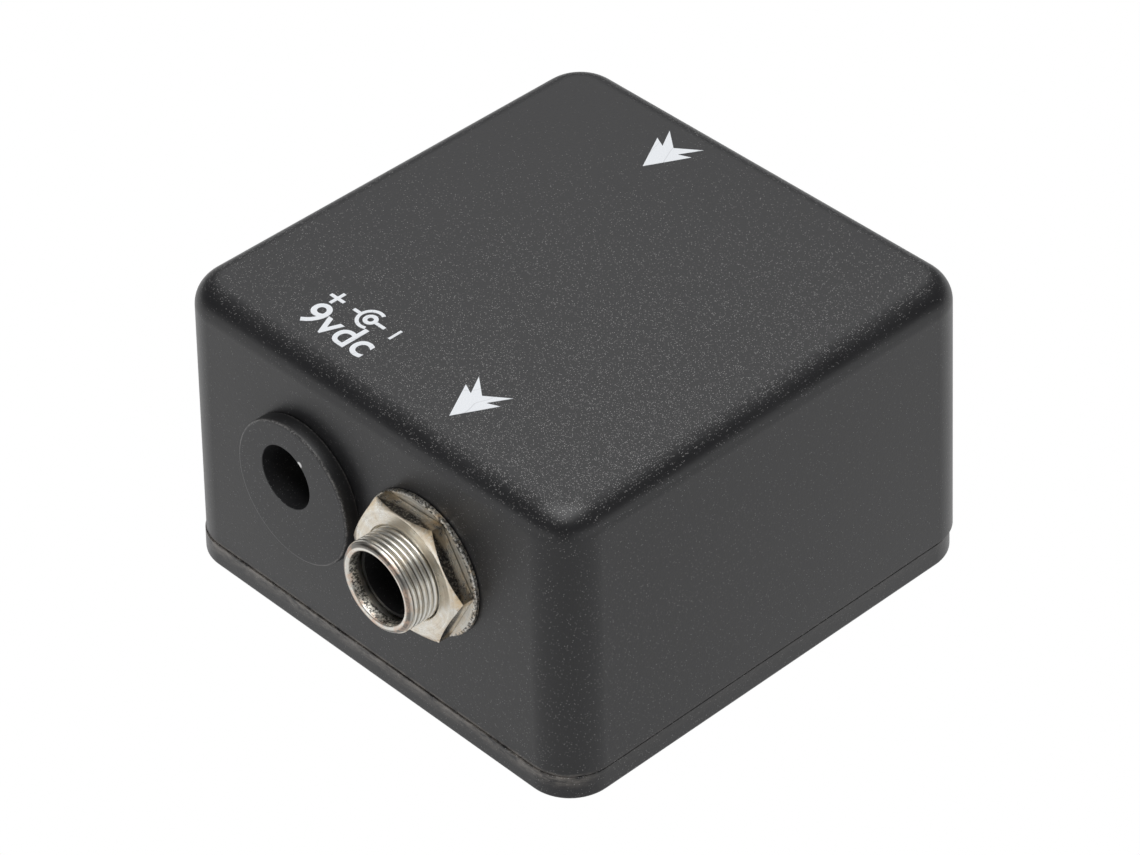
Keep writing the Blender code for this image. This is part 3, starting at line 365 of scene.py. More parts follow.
def corner_blocks(name, reach, low, high):
    """Four blocks that fill the corners beyond each screw's boss."""
    blocks = []
    for x, y in CORNERS:
        inner = Vector((x * (SCREW_X - reach), y * (SCREW_Y - reach)))
        outer = Vector((x * (HALF_X + OVERCUT), y * (HALF_Y + OVERCUT)))
        start = (min(inner.x, outer.x), min(inner.y, outer.y), low)
        end = (max(inner.x, outer.x), max(inner.y, outer.y), high)
        block = box("corner_block", start, end)
        with edit(block):
            choose("EDGE", lambda edge: all((v.co.xy - inner).length < TINY for v in edge.verts))
            round_edges(reach, 10)
        blocks.append(block)
    return joined(name, blocks)


def threaded(name, crest, depth, pitch, low, high, steps):
    """An open helical thread, cut square at both ends. The tooth has a worn, rounded crest."""
    root = crest - depth
    shape = [
        (root, 1.0),
        (root + depth * 0.10, 0.93),
        (crest - depth * 0.20, 0.79),
        (crest - depth * 0.06, 0.68),
        (crest, 0.50),
        (crest - depth * 0.06, 0.32),
        (crest - depth * 0.20, 0.21),
        (root + depth * 0.10, 0.07),
        (root, 0.0),
    ]
    tooth = draw(name, [(radius, 0, low - pitch * share) for radius, share in shape])
    applied(
        tooth,
        "SCREW",
        axis="Z",
        angle=math.tau,
        screw_offset=pitch,
        iterations=math.ceil((high - low) / pitch) + 2,
        steps=steps,
        render_steps=steps,
        use_merge_vertices=True,
        merge_threshold=TINY,
    )
    cleaned(tooth)
    with edit(tooth):
        for height, inner in ((low, True), (high, False)):
            choose("FACE")
            bpy.ops.mesh.bisect(
                plane_co=(0, 0, height),
                plane_no=(0, 0, 1),
                clear_inner=inner,
                clear_outer=not inner,
            )
    return tooth


def bridge(obj, heights, spread=0.00012):
    """Closes the gaps between facing open loops near these heights."""
    with edit(obj):
        for height in heights:
            near = level(height, spread)
            choose("EDGE", lambda edge: edge.is_boundary and near(edge))
            bpy.ops.mesh.bridge_edge_loops()
    return cleaned(obj)


# Node trees


def rgba(value):
    """A colour with its alpha, or a socket as it is."""
    return value if isinstance(value, bpy.types.NodeSocket) else (*value, 1.0)


def darker(tone, share):
    return tuple(share * part for part in tone)


class Graph:
    """Short ways to add and link nodes of one tree."""

    def __init__(self, tree):
        self.tree = tree

    def put(self, socket, value):
        """Links another node's output to a socket, or sets the socket's own value."""
        if isinstance(value, bpy.types.NodeSocket):
            self.tree.links.new(value, socket)
        else:
            socket.default_value = value

    def add(self, kind, inputs=(), **settings):
        node = self.tree.nodes.new(kind)
        for setting, value in settings.items():
            setattr(node, setting, value)
        for name, value in dict(inputs).items():
            self.put(node.inputs[name], value)
        return node

    def math(self, operation, first, second=0.0):
        return self.add("ShaderNodeMath", {0: first, 1: second}, operation=operation).outputs[0]

    def plus(self, first, second):
        return self.math("ADD", first, second)

    def minus(self, first, second):
        return self.math("SUBTRACT", first, second)

    def times(self, first, *others):
        for other in others:
            first = self.math("MULTIPLY", first, other)
        return first

    def radius(self, x, y):
        return self.math("POWER", self.plus(self.times(x, x), self.times(y, y)), 0.5)

    def between(self, value, low, high, start=0.0, end=1.0):
        """Start up to low, end from high, and a straight slope between them."""
        inputs = {"Value": value, "From Min": low, "From Max": high, "To Min": start, "To Max": end}
        return self.add("ShaderNodeMapRange", inputs).outputs["Result"]

    def mix(self, share, first, second):
        node = self.add("ShaderNodeMix", data_type="RGBA")
        sockets = {socket.identifier: socket for socket in node.inputs}
        self.put(sockets["Factor_Float"], share)
        self.put(sockets["A_Color"], rgba(first))
        self.put(sockets["B_Color"], rgba(second))
        return next(socket for socket in node.outputs if socket.identifier == "Result_Color")

    def mottled(self, cloud, dark, light):
        return self.mix(self.between(cloud, 0.3, 0.7), dark, light)

    def noise(self, vector, scale, detail=3.0, roughness=0.55):
        inputs = {"Vector": vector, "Scale": scale, "Detail": detail, "Roughness": roughness}
        return self.add("ShaderNodeTexNoise", inputs).outputs["Fac"]

    def mapped(self, vector, **inputs):
        return self.add("ShaderNodeMapping", {"Vector": vector, **inputs}).outputs["Vector"]

    def centred(self, place, matrix):
        """Object coordinates turned into the frame of this matrix."""
        inputs = {
            "Vector": place, "Location": matrix.to_translation(), "Rotation": matrix.to_euler("XYZ")
        }
        return self.add("ShaderNodeMapping", inputs, vector_type="TEXTURE").outputs["Vector"]

    def split(self, vector):
        return self.add("ShaderNodeSeparateXYZ", {0: vector}).outputs

    def vector(self, x, y, z):
        return self.add("ShaderNodeCombineXYZ", {0: x, 1: y, 2: z}).outputs[0]

    def group(self, name, **inputs):
        return self.add("ShaderNodeGroup", inputs, node_tree=bpy.data.node_groups[name]).outputs


class Finish(Graph):
    """A material's tree, with its Principled shader and its Object coordinates."""

    def __init__(self, name):
        self.material = bpy.data.materials.new(name)
        self.material.use_nodes = True
        super().__init__(self.material.node_tree)
        self.shader = self.tree.nodes["Principled BSDF"]
        coordinates = self.add("ShaderNodeTexCoord")
        self.place = coordinates.outputs["Object"]
        self.normal = coordinates.outputs["Normal"]

    def done(self, base, roughness, height, depth, strength, metallic=0.0):
        """Sets the shader's colour, roughness, share of bare metal and bumps."""
        inputs = {"Height": height, "Distance": depth, "Strength": strength}
        bumps = self.add("ShaderNodeBump", inputs).outputs["Normal"]
        values = {"Base Color": base, "Roughness": roughness, "Metallic": metallic, "Normal": bumps}
        for name, value in values.items():
            self.put(self.shader.inputs[name], value)


def new_group(name, inputs, outputs):
    """A shader node group's graph, its input sockets and its output node."""
    tree = bpy.data.node_groups.new(name, "ShaderNodeTree")
    tree.interface.new_socket("Vector", in_out="INPUT", socket_type="NodeSocketVector")
    for label, value in inputs.items():
        socket = tree.interface.new_socket(label, in_out="INPUT", socket_type="NodeSocketFloat")
        socket.default_value = value
    for label in outputs:
        tree.interface.new_socket(label, in_out="OUTPUT", socket_type="NodeSocketFloat")
    graph = Graph(tree)
    return graph, graph.add("NodeGroupInput").outputs, graph.add("NodeGroupOutput").inputs


def make_powder_grain():
    """Fine bumps of a textured coat, with light flecks on a share of them."""
    graph, given, out = new_group(
        "powder_grain", {"Grain": 0.00016, "Share": 0.2}, ("Flecks", "Height")
    )
    scale = graph.math("DIVIDE", 1.0, given["Grain"])
    askew = graph.mapped(given["Vector"], Rotation=(0.61, 0.43, 0.27))
    cells = graph.add("ShaderNodeTexVoronoi", {"Vector": askew, "Scale": scale})
    chance = graph.split(cells.outputs["Color"])[0]
    edge = graph.minus(1.0, given["Share"])
    lit = graph.between(chance, edge, graph.plus(edge, 0.12))
    dot = graph.between(cells.outputs["Distance"], 0.12, 0.42, 1.0, 0.0)
    graph.put(out["Flecks"], graph.times(lit, dot))
    coarse = graph.noise(given["Vector"], graph.times(scale, 0.45), 2.0)
    bump = graph.between(cells.outputs["Distance"], 0.0, 0.7, 1.0, 0.0)
    graph.put(out["Height"], graph.plus(coarse, graph.times(bump, 0.35)))


def make_tarnish():
    """Blotches of thin brown film, broken up at two sizes."""
    graph, given, out = new_group("tarnish", {"Size": 0.002, "Amount": 0.5}, ("Mask",))
    scale = graph.math("DIVIDE", 1.0, given["Size"])
    broad = graph.noise(given["Vector"], scale, 4.0, 0.65)
    fine = graph.noise(given["Vector"], graph.times(scale, 5.0), 3.0, 0.6)
    blend = graph.plus(graph.times(broad, 0.7), graph.times(fine, 0.3))
    edge = graph.minus(0.68, graph.times(given["Amount"], 0.4))
    graph.put(out["Mask"], graph.between(blend, edge, graph.plus(edge, 0.16)))


def make_turned_marks():
    """Rings left by a lathe tool round Z, with the radius and the height."""
    graph, given, out = new_group("turned_marks", {"Spacing": 0.0001}, ("Rings", "Radius", "Height"))
    x, y, z = graph.split(given["Vector"])
    radius = graph.radius(x, y)
    angle = graph.times(graph.math("ARCTAN2", y, x), given["Spacing"])
    rings = graph.vector(radius, z, graph.times(angle, 1.5))
    scale = graph.math("DIVIDE", 1.0, given["Spacing"])
    graph.put(out["Rings"], graph.noise(rings, scale, 3.0, 0.6))
    graph.put(out["Radius"], radius)
    graph.put(out["Height"], z)


# Finishes


def powder_coat(looks):
    """Black powder coat. Its flecks are densest on top, by the corner at +X and -Y, partly grain and partly
    painted highlight.
    """
    coat = Finish("powder_coat")
    x, y, z = coat.split(coat.place)
    upward = coat.split(coat.normal)[2]
    # Painted highlight: the share of light flecks rises on upward faces, towards the corner at +X and -Y, and on
    # the shoulder of the top's edge
    near = coat.between(coat.minus(x, y), -0.035, 0.045, 0.10, 1.0)
    top = coat.between(upward, 0.5, 0.97, 0.30, 1.0)
    share = coat.times(coat.times(near, top), looks.fleck_share)
    highlight_shoulder = coat.times(coat.between(upward, 0.86, 0.95), coat.between(upward, 0.995, 0.97))
    share = coat.plus(share, coat.times(highlight_shoulder, 0.10))
    grain = coat.group("powder_grain", Vector=coat.place, Grain=looks.grain, Share=share)
    cloud = coat.noise(coat.place, 90.0)
    base = coat.mottled(cloud, looks.coat_dark, looks.coat_light)

    # Scuffs along the seam, most at the output end, and dust low on the walls
    rub = coat.noise(coat.vector(coat.times(x, 0.35), coat.times(y, 0.35), z), 2200.0, 4.0, 0.7)
    below = coat.between(z, COVER_RIM - 0.0013, COVER_RIM - 0.0002)
    above = coat.between(z, COVER_RIM + 0.0004, COVER_RIM + 0.0001)
    front = coat.between(y, -0.0215, -0.0245, 0.12, 1.0)
    scuffs = coat.times(coat.times(coat.times(below, above), front), coat.between(rub, 0.36, 0.62))
    dust = coat.group("tarnish", Vector=coat.place, Size=0.0035, Amount=0.2)
    dusty = coat.times(coat.between(z, 0.006, 0.003), coat.times(dust["Mask"], 0.2))
    worn = coat.mix(coat.times(coat.math("MAXIMUM", scuffs, dusty), 0.85), base, looks.scuff)
    flecks = coat.times(grain["Flecks"], looks.fleck_strength)
    rough = coat.plus(coat.times(cloud, 0.12), looks.coat_roughness - 0.12)
    rough = coat.plus(rough, coat.times(coat.noise(coat.place, 3600.0, 3.0, 0.7), 0.12))
    coat.done(coat.mix(flecks, worn, looks.fleck), rough, grain["Height"], 0.00002, 0.55)


def legend_ink(looks):
    """White screen print with hairline scratches."""
    ink = Finish("legend_ink")
    wear = ink.noise(ink.place, 9000.0, 2.0)
    inputs = {"Vector": ink.place, "Scale": 160.0, "Distortion": 7.0, "Detail": 2.0}
    lines = ink.add("ShaderNodeTexWave", inputs)
    scratch = ink.between(lines.outputs["Fac"], 0.992, 1.0)
    tone = ink.mottled(wear, (0.80, 0.83, 0.87), looks.ink)
    ink.done(ink.mix(ink.times(scratch, 0.35), tone, (0.4, 0.4, 0.42)), 0.5, wear, 0.00001, 0.3)


def mouth_soil(graph, radius, height, grime_and_reflection_noise):
    """Black flecks where plugs have worn the plating just inside a bushing's mouth."""
    inside = graph.between(radius, 0.00381, 0.00375)
    below = graph.between(height, RIM_PROUD - 0.00014, RIM_PROUD - 0.0002)
    above = graph.between(height, RIM_PROUD - 0.00126, RIM_PROUD - 0.0012)
    band = graph.times(inside, graph.times(below, above))
    return graph.times(band, graph.between(grime_and_reflection_noise, 0.46, 0.55))


def flat_dark_reflection(graph, radius, height, grime_and_reflection_noise):
    """Painted dark reflection of the black panel on a nut's flats, just below the chamfer's arcs and fading
    downwards.
    """
    arc_height = graph.between(radius, NUT_FACE_RADIUS, NUT_CORNER, NUT_TOP, NUT_TOP - NUT_FALL)
    under = graph.between(graph.minus(arc_height, height), 0.00001, 0.00006)
    fade = graph.between(radius, 0.0060, 0.0069, 0.00120, 0.00172)
    over = graph.between(graph.minus(height, fade), -0.00012, 0.00018)
    side = graph.between(radius, 0.00592, 0.00597)
    return graph.times(
        graph.times(side, graph.times(under, over)), graph.between(grime_and_reflection_noise, 0.30, 0.50)
    )


def rim_soil(graph, radius, height, grime_and_reflection_noise):
    """Black flecks on a washer's stamped edge."""
    return graph.times(graph.between(radius, 0.00674, 0.0068), graph.between(grime_and_reflection_noise, 0.47, 0.56))


def nickel(
    name, panel, looks, edge_low, edge_high,
    root=None, shade=1.0, film_share=None, dull_by=0.0, soil_and_reflection=None, lip=None,
):
    """Old nickel plate with lathe rings. It browns from edge_low to edge_high off the axis.

    root is the span of radii at a thread's roots, which are painted dark, soil makes the mask of
    its black marks, a painted dark reflection on the nut's flats, and lip is a height above which
    it has a copper tint.
    """
    plate = Finish(name)
    local = plate.centred(plate.place, panel)
    marks = plate.group("turned_marks", Vector=local, Spacing=0.00012)
    film = plate.group("tarnish", Vector=local, Size=0.0016, Amount=film_share or looks.tarnish)
    specks = plate.group("tarnish", Vector=local, Size=0.0006, Amount=0.40)
    rings = plate.between(marks["Rings"], 0.3, 0.7)
    tone = plate.mix(rings, darker(looks.metal_dark, shade), darker(looks.metal_light, shade))
    edge = plate.math("MAXIMUM", plate.between(marks["Radius"], edge_low, edge_high), 0.35)
    tone = plate.mix(plate.times(plate.times(edge, film["Mask"]), 0.85), tone, looks.stain)
    tone = plate.mix(plate.times(plate.times(edge, specks["Mask"]), 0.75), tone, looks.rust)
    if root:
        # The thread's roots, outside the bore, are painted dark brown
        pit = plate.between(marks["Radius"], *root, 1.0, 0.0)
        inside = plate.between(marks["Radius"], BORE_RADIUS, BORE_RADIUS + 0.0001)
        tone = plate.mix(plate.times(plate.times(pit, inside), 0.8), tone, (0.05, 0.042, 0.035))
    if lip:
        mouth = plate.times(plate.between(marks["Height"], lip - 0.0003, lip), film["Mask"])
        tone = plate.mix(plate.times(mouth, 0.8), tone, (0.74, 0.52, 0.40))
    # Black marks in the bushing's mouth and on the washer's rim, and a painted dark reflection on the nut's flats
    if soil_and_reflection:
        grime_and_reflection_noise = plate.noise(local, 4200.0, 4.0, 0.75)
        patch = soil_and_reflection(plate, marks["Radius"], marks["Height"], grime_and_reflection_noise)
        tone = plate.mix(plate.times(patch, 0.9), tone, (0.035, 0.034, 0.034))
    dull = plate.plus(plate.times(rings, 0.14), looks.metal_roughness + dull_by)
    dull = plate.plus(dull, plate.times(film["Mask"], 0.12))
    plate.done(tone, dull, marks["Rings"], 0.000012, 0.6, metallic=1.0)


def socket_nickel(side, looks):
    """One side's three finishes, because lathe rings turn about that side's own axis."""
    panel = PANELS[side]
    nickel(
        f"{side}_bushing_nickel", panel, looks, 0.0039, 0.0052, root=(0.00419, 0.00431),
        film_share=0.55, dull_by=0.14, soil_and_reflection=mouth_soil, lip=RIM_PROUD - 0.0002,
    )
    # The nut's flats carry a painted dark reflection of the black panel
    nickel(
        f"{side}_nut_nickel", panel, looks, 0.0054, 0.0066,
        film_share=0.75, dull_by=0.06, soil_and_reflection=flat_dark_reflection,
    )
    nickel(
        f"{side}_washer_nickel", panel, looks, 0.0063, 0.0069,
        shade=0.9, dull_by=0.22, soil_and_reflection=rim_soil,
    )


def moulding(name, tone, roughness, worn_rim=None):
    """Matte black moulded plastic with a fine spark-eroded grain.

    worn_rim is the radius of the inlet's flange, where handling has whitened both edges. It also brings
    a painted shade on the flange's side and a painted glint at the bore's mouth.
    """
    plastic = Finish(name)
    texture = plastic.group("powder_grain", Vector=plastic.place, Grain=0.00012, Share=0.16)
    cloud = plastic.noise(plastic.place, 300.0)
    base = plastic.mottled(cloud, darker(tone, 0.8), tone)
    base = plastic.mix(plastic.times(texture["Flecks"], 0.6), base, (0.42, 0.42, 0.42))
    if worn_rim:
        local = plastic.centred(plastic.place, INLET_PANEL)
        marks = plastic.group("turned_marks", Vector=local, Spacing=0.00012)
        height = marks["Height"]
        near = plastic.between(marks["Radius"], worn_rim - 0.00022, worn_rim - 0.00008)
        front = plastic.between(height, INLET_FACE - 0.00034, INLET_FACE - 0.00010)
        back = plastic.between(height, 0.00030, 0.00016)
        chips = plastic.between(plastic.noise(plastic.place, 5200.0, 3.0, 0.7), 0.40, 0.62)
        edge = plastic.times(plastic.times(near, plastic.math("MAXIMUM", front, back)), chips)
        base = plastic.mix(plastic.times(edge, 0.6), base, (0.30, 0.29, 0.28))
        # Painted shade: the flange's side is darker from just below the face's edge down
        side = plastic.between(height, INLET_FACE - 0.0001, INLET_FACE - 0.0003)
        base = plastic.mix(plastic.times(plastic.times(near, side), 0.5), base, (0.01, 0.01, 0.01))
        # Painted glint: a small light spot on the bore's mouth, at its upper right
        glint_frame = plastic.centred(plastic.place, INLET_PANEL @ Matrix.Translation(INLET_GLINT))
        away = plastic.add("ShaderNodeVectorMath", {0: glint_frame}, operation="LENGTH").outputs["Value"]
        base = plastic.mix(plastic.between(away, 0.00034, 0.00022), base, (0.85, 0.85, 0.84))
    dull = plastic.plus(plastic.times(cloud, 0.1), roughness - 0.05)
    plastic.done(base, dull, texture["Height"], 0.000012, 0.5)


def contact_bronze():
    """Sprung bronze with fine lengthwise lines and a little film."""
    bronze = Finish("contact_bronze")
    tone = (0.72, 0.55, 0.33)
    lines = bronze.noise(bronze.mapped(bronze.place, Scale=(1.0, 0.08, 1.0)), 9000.0, 2.0)
    film = bronze.group("tarnish", Vector=bronze.place, Size=0.0015, Amount=0.35)
    base = bronze.mottled(lines, darker(tone, 0.55), tone)
    brown = (tone[0] * 0.6, tone[1] * 0.45, tone[2] * 0.3)
    base = bronze.mix(bronze.times(film["Mask"], 0.5), base, brown)
    dull = bronze.plus(bronze.times(lines, 0.15), 0.2)
    bronze.done(base, dull, lines, 0.000006, 0.5, metallic=1.0)


def zinc_plate():
    zinc = Finish("zinc_plate")
    frost = zinc.noise(zinc.place, 2500.0, 4.0)
    film = zinc.group("tarnish", Vector=zinc.place, Size=0.0012, Amount=0.3)
    base = zinc.mottled(frost, (0.46, 0.47, 0.48), (0.66, 0.66, 0.65))
    base = zinc.mix(zinc.times(film["Mask"], 0.5), base, (0.4, 0.37, 0.3))
    dull = zinc.between(frost, 0.3, 0.7, 0.28, 0.45)
    zinc.done(base, dull, frost, 0.000008, 0.5, metallic=1.0)


def board_mask():
    """Green solder mask over straight copper tracks, which run both ways in patches."""
    board = Finish("board_mask")
    across = board.mapped(board.place, Rotation=(0, 0, math.radians(90)))
    patches = board.noise(board.place, 260.0, 0.0)
    tracks = []
    for vector, offset, chosen in (
        (board.place, 0.37, board.between(patches, 0.50, 0.51)),
        (across, 0.61, board.between(patches, 0.47, 0.46)),
    ):
        inputs = {
            "Vector": vector, "Scale": 1.0, "Mortar Size": 0.00022, "Mortar Smooth": 0.1,
            "Brick Width": 0.0127, "Row Height": 0.00254,
        }
        brick = board.add("ShaderNodeTexBrick", inputs, offset=offset)
        tracks.append(board.times(brick.outputs["Fac"], chosen))
    weave = board.noise(board.place, 4000.0, 2.0)
    copper = board.math("MAXIMUM", *tracks)
    mask = board.mix(copper, (0.012, 0.085, 0.035), (0.03, 0.19, 0.075))
    shade = board.mix(board.between(weave, 0.35, 0.65), (0.006, 0.05, 0.02), mask)
    dull = board.between(weave, 0.3, 0.7, 0.25, 0.4)
    relief = board.plus(copper, board.times(weave, 0.2))
    board.done(board.mix(0.75, shade, mask), dull, relief, 0.00003, 0.7)


def solder():
    metal = Finish("solder")
    swirl = metal.noise(metal.place, 2200.0)
    base = metal.mottled(swirl, (0.42, 0.42, 0.42), (0.68, 0.68, 0.66))
    dull = metal.between(swirl, 0.3, 0.7, 0.2, 0.42)
    metal.done(base, dull, swirl, 0.00002, 0.5, metallic=1.0)


def component(node, tone, along, half_body, bands=(), roughness=0.38, cap=None, name=None):
    """A component's own finish, with bare leads below or beyond its body.

    along is the axis that its bands cross, half_body is where its leads start along that axis and
    cap is the height and radius of a bare aluminium top.
    """
    part = Finish(name or f"{node}_body")
    low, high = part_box(node)
    middle = (low + high) / 2
    foot = Matrix.Translation((middle.x, middle.y, BOARD_HIGH.z))
    axes = part.split(part.centred(part.place, foot))
    speckle = part.noise(part.place, 1500.0)
    beyond = part.between(part.math("ABSOLUTE", axes[along]), half_body, half_body + 0.00003)
    metal = part.math("MAXIMUM", beyond, part.between(axes[2], 0.00022, 0.0002))
    base = part.mottled(speckle, darker(tone, 0.8), tone)
    for centre, width, band in bands:
        off = part.math("ABSOLUTE", part.minus(axes[along], centre))
        base = part.mix(part.between(off, width, width + 0.00004, 1.0, 0.0), base, band)
    if cap:
        height, edge = cap
        above = part.between(axes[2], height, height + 0.00005)
        inside = part.between(part.radius(axes[0], axes[1]), edge + 0.00003, edge)
        metal = part.math("MAXIMUM", metal, part.times(above, inside))
    tin = part.mix(speckle, (0.5, 0.5, 0.5), (0.72, 0.72, 0.7))
    dull = part.between(speckle, 0.3, 0.7, roughness - 0.06, roughness + 0.06)
    part.done(part.mix(metal, base, tin), dull, speckle, 0.00001, 0.4, metallic=metal)
    return part.material


def insulation(name, tone):
    sleeve = Finish(name)
    grain = sleeve.noise(sleeve.place, 3000.0)
    base = sleeve.mottled(grain, darker(tone, 0.75), tone)
    sleeve.done(base, sleeve.between(grain, 0.3, 0.7, 0.34, 0.46), grain, 0.000008, 0.4)


def fibre_sheet():
    """Vulcanised fibre with short crossed strands."""
    sheet = Finish("fibre_sheet")
    strands = []
    for turn in (0.4, 1.9):
        stretched = sheet.mapped(sheet.place, Rotation=(0, 0, turn), Scale=(1.0, 0.12, 1.0))
        strands.append(sheet.noise(stretched, 2200.0, 2.0))
    strand = sheet.math("MAXIMUM", *strands)
    light = sheet.between(strand, 0.45, 0.7)
    base = sheet.mix(light, (0.085, 0.085, 0.09), (0.17, 0.17, 0.175))
    sheet.done(base, 0.7, strand, 0.00002, 0.6)


# Pieces


def make_case_shell(sizes):
    foot = COVER_RIM + SEAM_GAP
    shell = drafted_block("case_shell", HALF_X, HALF_Y, foot, CASE_HIGH.z, CORNER_RADIUS)
    with edit(shell):
        choose("EDGE", level(CASE_HIGH.z))
        round_edges(sizes.top_edge, 12)
        choose("EDGE", level(foot))
        round_edges(RIM_BEVEL, 3)
    half_x, half_y, top = HALF_X - WALL, HALF_Y - WALL, CASE_HIGH.z - ROOF
    cavity = drafted_block("cavity", half_x, half_y, 0, top, CORNER_RADIUS - WALL)
    carve(cavity, corner_blocks("boss_blocks", BOSS_RADIUS, -OVERCUT, CASE_HIGH.z))
    carve(shell, cavity)
    bore_top = CASE_LOW.z + sizes.boss_bore
    for x, y in CORNERS:
        carve(shell, cylinder("bore", x * SCREW_X, y * SCREW_Y, 0, bore_top, SCREW_HOLE, 32))
    holes = [(panel, SOCKET_HOLE) for panel in PANELS.values()] + [(INLET_PANEL, INLET_HOLE)]
    for panel, radius in holes:
        carve(shell, placed(cylinder("hole", 0, 0, -0.003, 0.001, radius, 64), panel))
    return smooth(cleaned(shell), 32, weighted=True)


def make_cover_shell():
    """A plate that closes the case, with a locating lip and countersunk holes."""
    half_y = HALF_Y - COVER_SHRINK
    cover = drafted_block("cover_shell", HALF_X, half_y, 0, COVER_RIM, CORNER_RADIUS)
    placed(cover, Matrix.Translation((0, -COVER_SHIFT, 0)))
    with edit(cover):
        choose("EDGE", level(0))
        round_edges(RIM_EDGE, 5)
        choose("EDGE", level(COVER_RIM))
        round_edges(RIM_BEVEL, 3)
    lip_top = COVER_HIGH.z
    inner = Vector((HALF_X, HALF_Y)) - Vector((1, 1)) * (WALL + TAPER * lip_top + CLEARANCE)
    pocket = inner - Vector((1, 1)) * COVER_LIP_WALL
    lip = box("lip", (-inner.x, -inner.y, COVER_PLATE), (inner.x, inner.y, lip_top))
    reach = BOSS_RADIUS + CLEARANCE
    carve(lip, corner_blocks("notches", reach, -OVERCUT, lip_top + OVERCUT))
    room = box("room", (-pocket.x, -pocket.y, COVER_PLATE), (pocket.x, pocket.y, lip_top + OVERCUT))
    carve(room, corner_blocks("notches", reach + COVER_LIP_WALL, -OVERCUT, lip_top + 2 * OVERCUT))
    carve(cover, lip, "UNION")
    carve(cover, room)
    sink_end = SINK_START + SINK_RADIUS - SINK_TIP
    for x, y in CORNERS:
        spot = (x * SCREW_X, y * SCREW_Y)
        carve(cover, cylinder("hole", *spot, -OVERCUT, COVER_RIM + OVERCUT, SCREW_HOLE, 48))
        carve(cover, cylinder("sink", *spot, SINK_START, sink_end, SINK_RADIUS, 64, top=SINK_TIP))
    return smooth(cleaned(cover), 32, weighted=True)


def make_screw(name):
    """A countersunk cross-recess screw, head down, with its thread."""
    low, high = SCREWS[0]
    foot, tip = low.z, high.z
    start, end = SCREW_THREAD_START, tip - 0.0006
    upper = [
        (0, tip),
        (0.0009, tip),
        (SHANK_RADIUS - 0.00012, tip - 0.0005),
        (SHANK_RADIUS - 0.00012, end + 0.00004),
    ]
    lower = [
        (SHANK_RADIUS - 0.00010, start - 0.00004),
        (SHANK_RADIUS, foot + 0.0002 + HEAD_RADIUS - SHANK_RADIUS),
        (HEAD_RADIUS, foot + 0.0002),
        (HEAD_RADIUS - 0.00006, foot + 0.00004),
        (HEAD_RADIUS - 0.0003, foot),
        (0, foot),
    ]
    ends = [turned("end", profile, 48, closed=False) for profile in (upper, lower)]
    size = (SHANK_RADIUS, SCREW_THREAD_DEPTH, SCREW_PITCH, start, end)
    thread = threaded("thread", *size, 48)
    screw = bridge(joined(name, [*ends, thread]), (start - 0.00002, end + 0.00002), 0.00008)
    half = RECESS_HALF_WIDTH
    punch = box("punch", (-half, -half, foot - OVERCUT), (half, half, foot + RECESS_DEPTH))
    with edit(punch):
        for axis in (0, 1):
            for side in (-1, 1):
                choose("FACE", core_face(axis, side))
                reach = Vector((0, 0, 0))
                reach[axis] = side * RECESS_REACH
                bpy.ops.mesh.extrude_region_move(TRANSFORM_OT_translate={"value": reach})
        choose("VERT", lambda vert: vert.co.z > foot)
        point = (0, 0, foot + RECESS_DEPTH)
        bpy.ops.transform.resize(value=(0.35, 0.35, 1), center_override=point)
    return smooth(cleaned(carve(screw, punch)), 35)


def core_face(axis, side):
    """A test for the punch's own face on this side, and not an arm's end."""

    def test(face):
        middle = face.calc_center_median()
        central = abs(middle[1 - axis]) < TINY and abs(middle[axis]) < 0.0005
        return face.normal[axis] * side > 0.9 and central

    return test


def make_bushing(name, sizes):
    """The threaded sleeve of a socket: flange, thread, rolled rim, mouth and bore."""
    rim, step = RIM_PROUD, RIM_PROUD - MOUTH_DEPTH
    body = [
        (THREAD_RADIUS - 0.00010, THREAD_HIGH + 0.00006),
        (THREAD_RADIUS - 0.00009, rim - 0.00040),
        (THREAD_RADIUS - 0.00018, rim - 0.00018),
        (THREAD_RADIUS - 0.00032, rim - 0.00006),
        (THREAD_RADIUS - 0.00046, rim),
        (MOUTH_RADIUS + 0.00034, rim),
        (MOUTH_RADIUS + 0.00020, rim - 0.00004),
        (MOUTH_RADIUS + 0.00012, rim - 0.00014),
        (MOUTH_RADIUS, step),
        (BORE_RADIUS, step - 0.0001),
        (BORE_RADIUS, FLANGE_FOOT),
        (FLANGE_RADIUS - 0.0001, FLANGE_FOOT),
        (FLANGE_RADIUS, FLANGE_FOOT + 0.0001),
        (FLANGE_RADIUS, FLANGE_TOP),
        (THREAD_RADIUS - THREAD_SINK, FLANGE_TOP),
        (THREAD_RADIUS - THREAD_SINK, THREAD_LOW - 0.00006),
    ]
    sleeve = turned(name, body, closed=False)
    size = (THREAD_RADIUS, sizes.thread_depth, sizes.thread_pitch, THREAD_LOW, THREAD_HIGH)
    thread = threaded("thread", *size, 96)
    gaps = (THREAD_LOW - 0.00003, THREAD_HIGH + 0.00003)
    return smooth(bridge(joined(name, [sleeve, thread]), gaps), 40)


def make_washer(name, sizes):
    """A stamped washer: rolled on its upper edge and torn on its lower one."""
    top, foot, rim = WASHER_TOP, WASHER_FOOT, sizes.washer_radius
    profile = [
        (WASHER_HOLE, foot),
        (WASHER_HOLE, top - 0.00008),
        (WASHER_HOLE + 0.00008, top),
        (rim - 0.00022, top),
        (rim - 0.00008, top - 0.00004),
        (rim, top - 0.00014),
        (rim, foot + 0.00006),
        (rim - 0.00006, foot),
    ]
    washer = smooth(turned(name, profile, 128), 30)
    return placed(washer, Matrix.Translation((*WASHER_SHIFT, 0)))


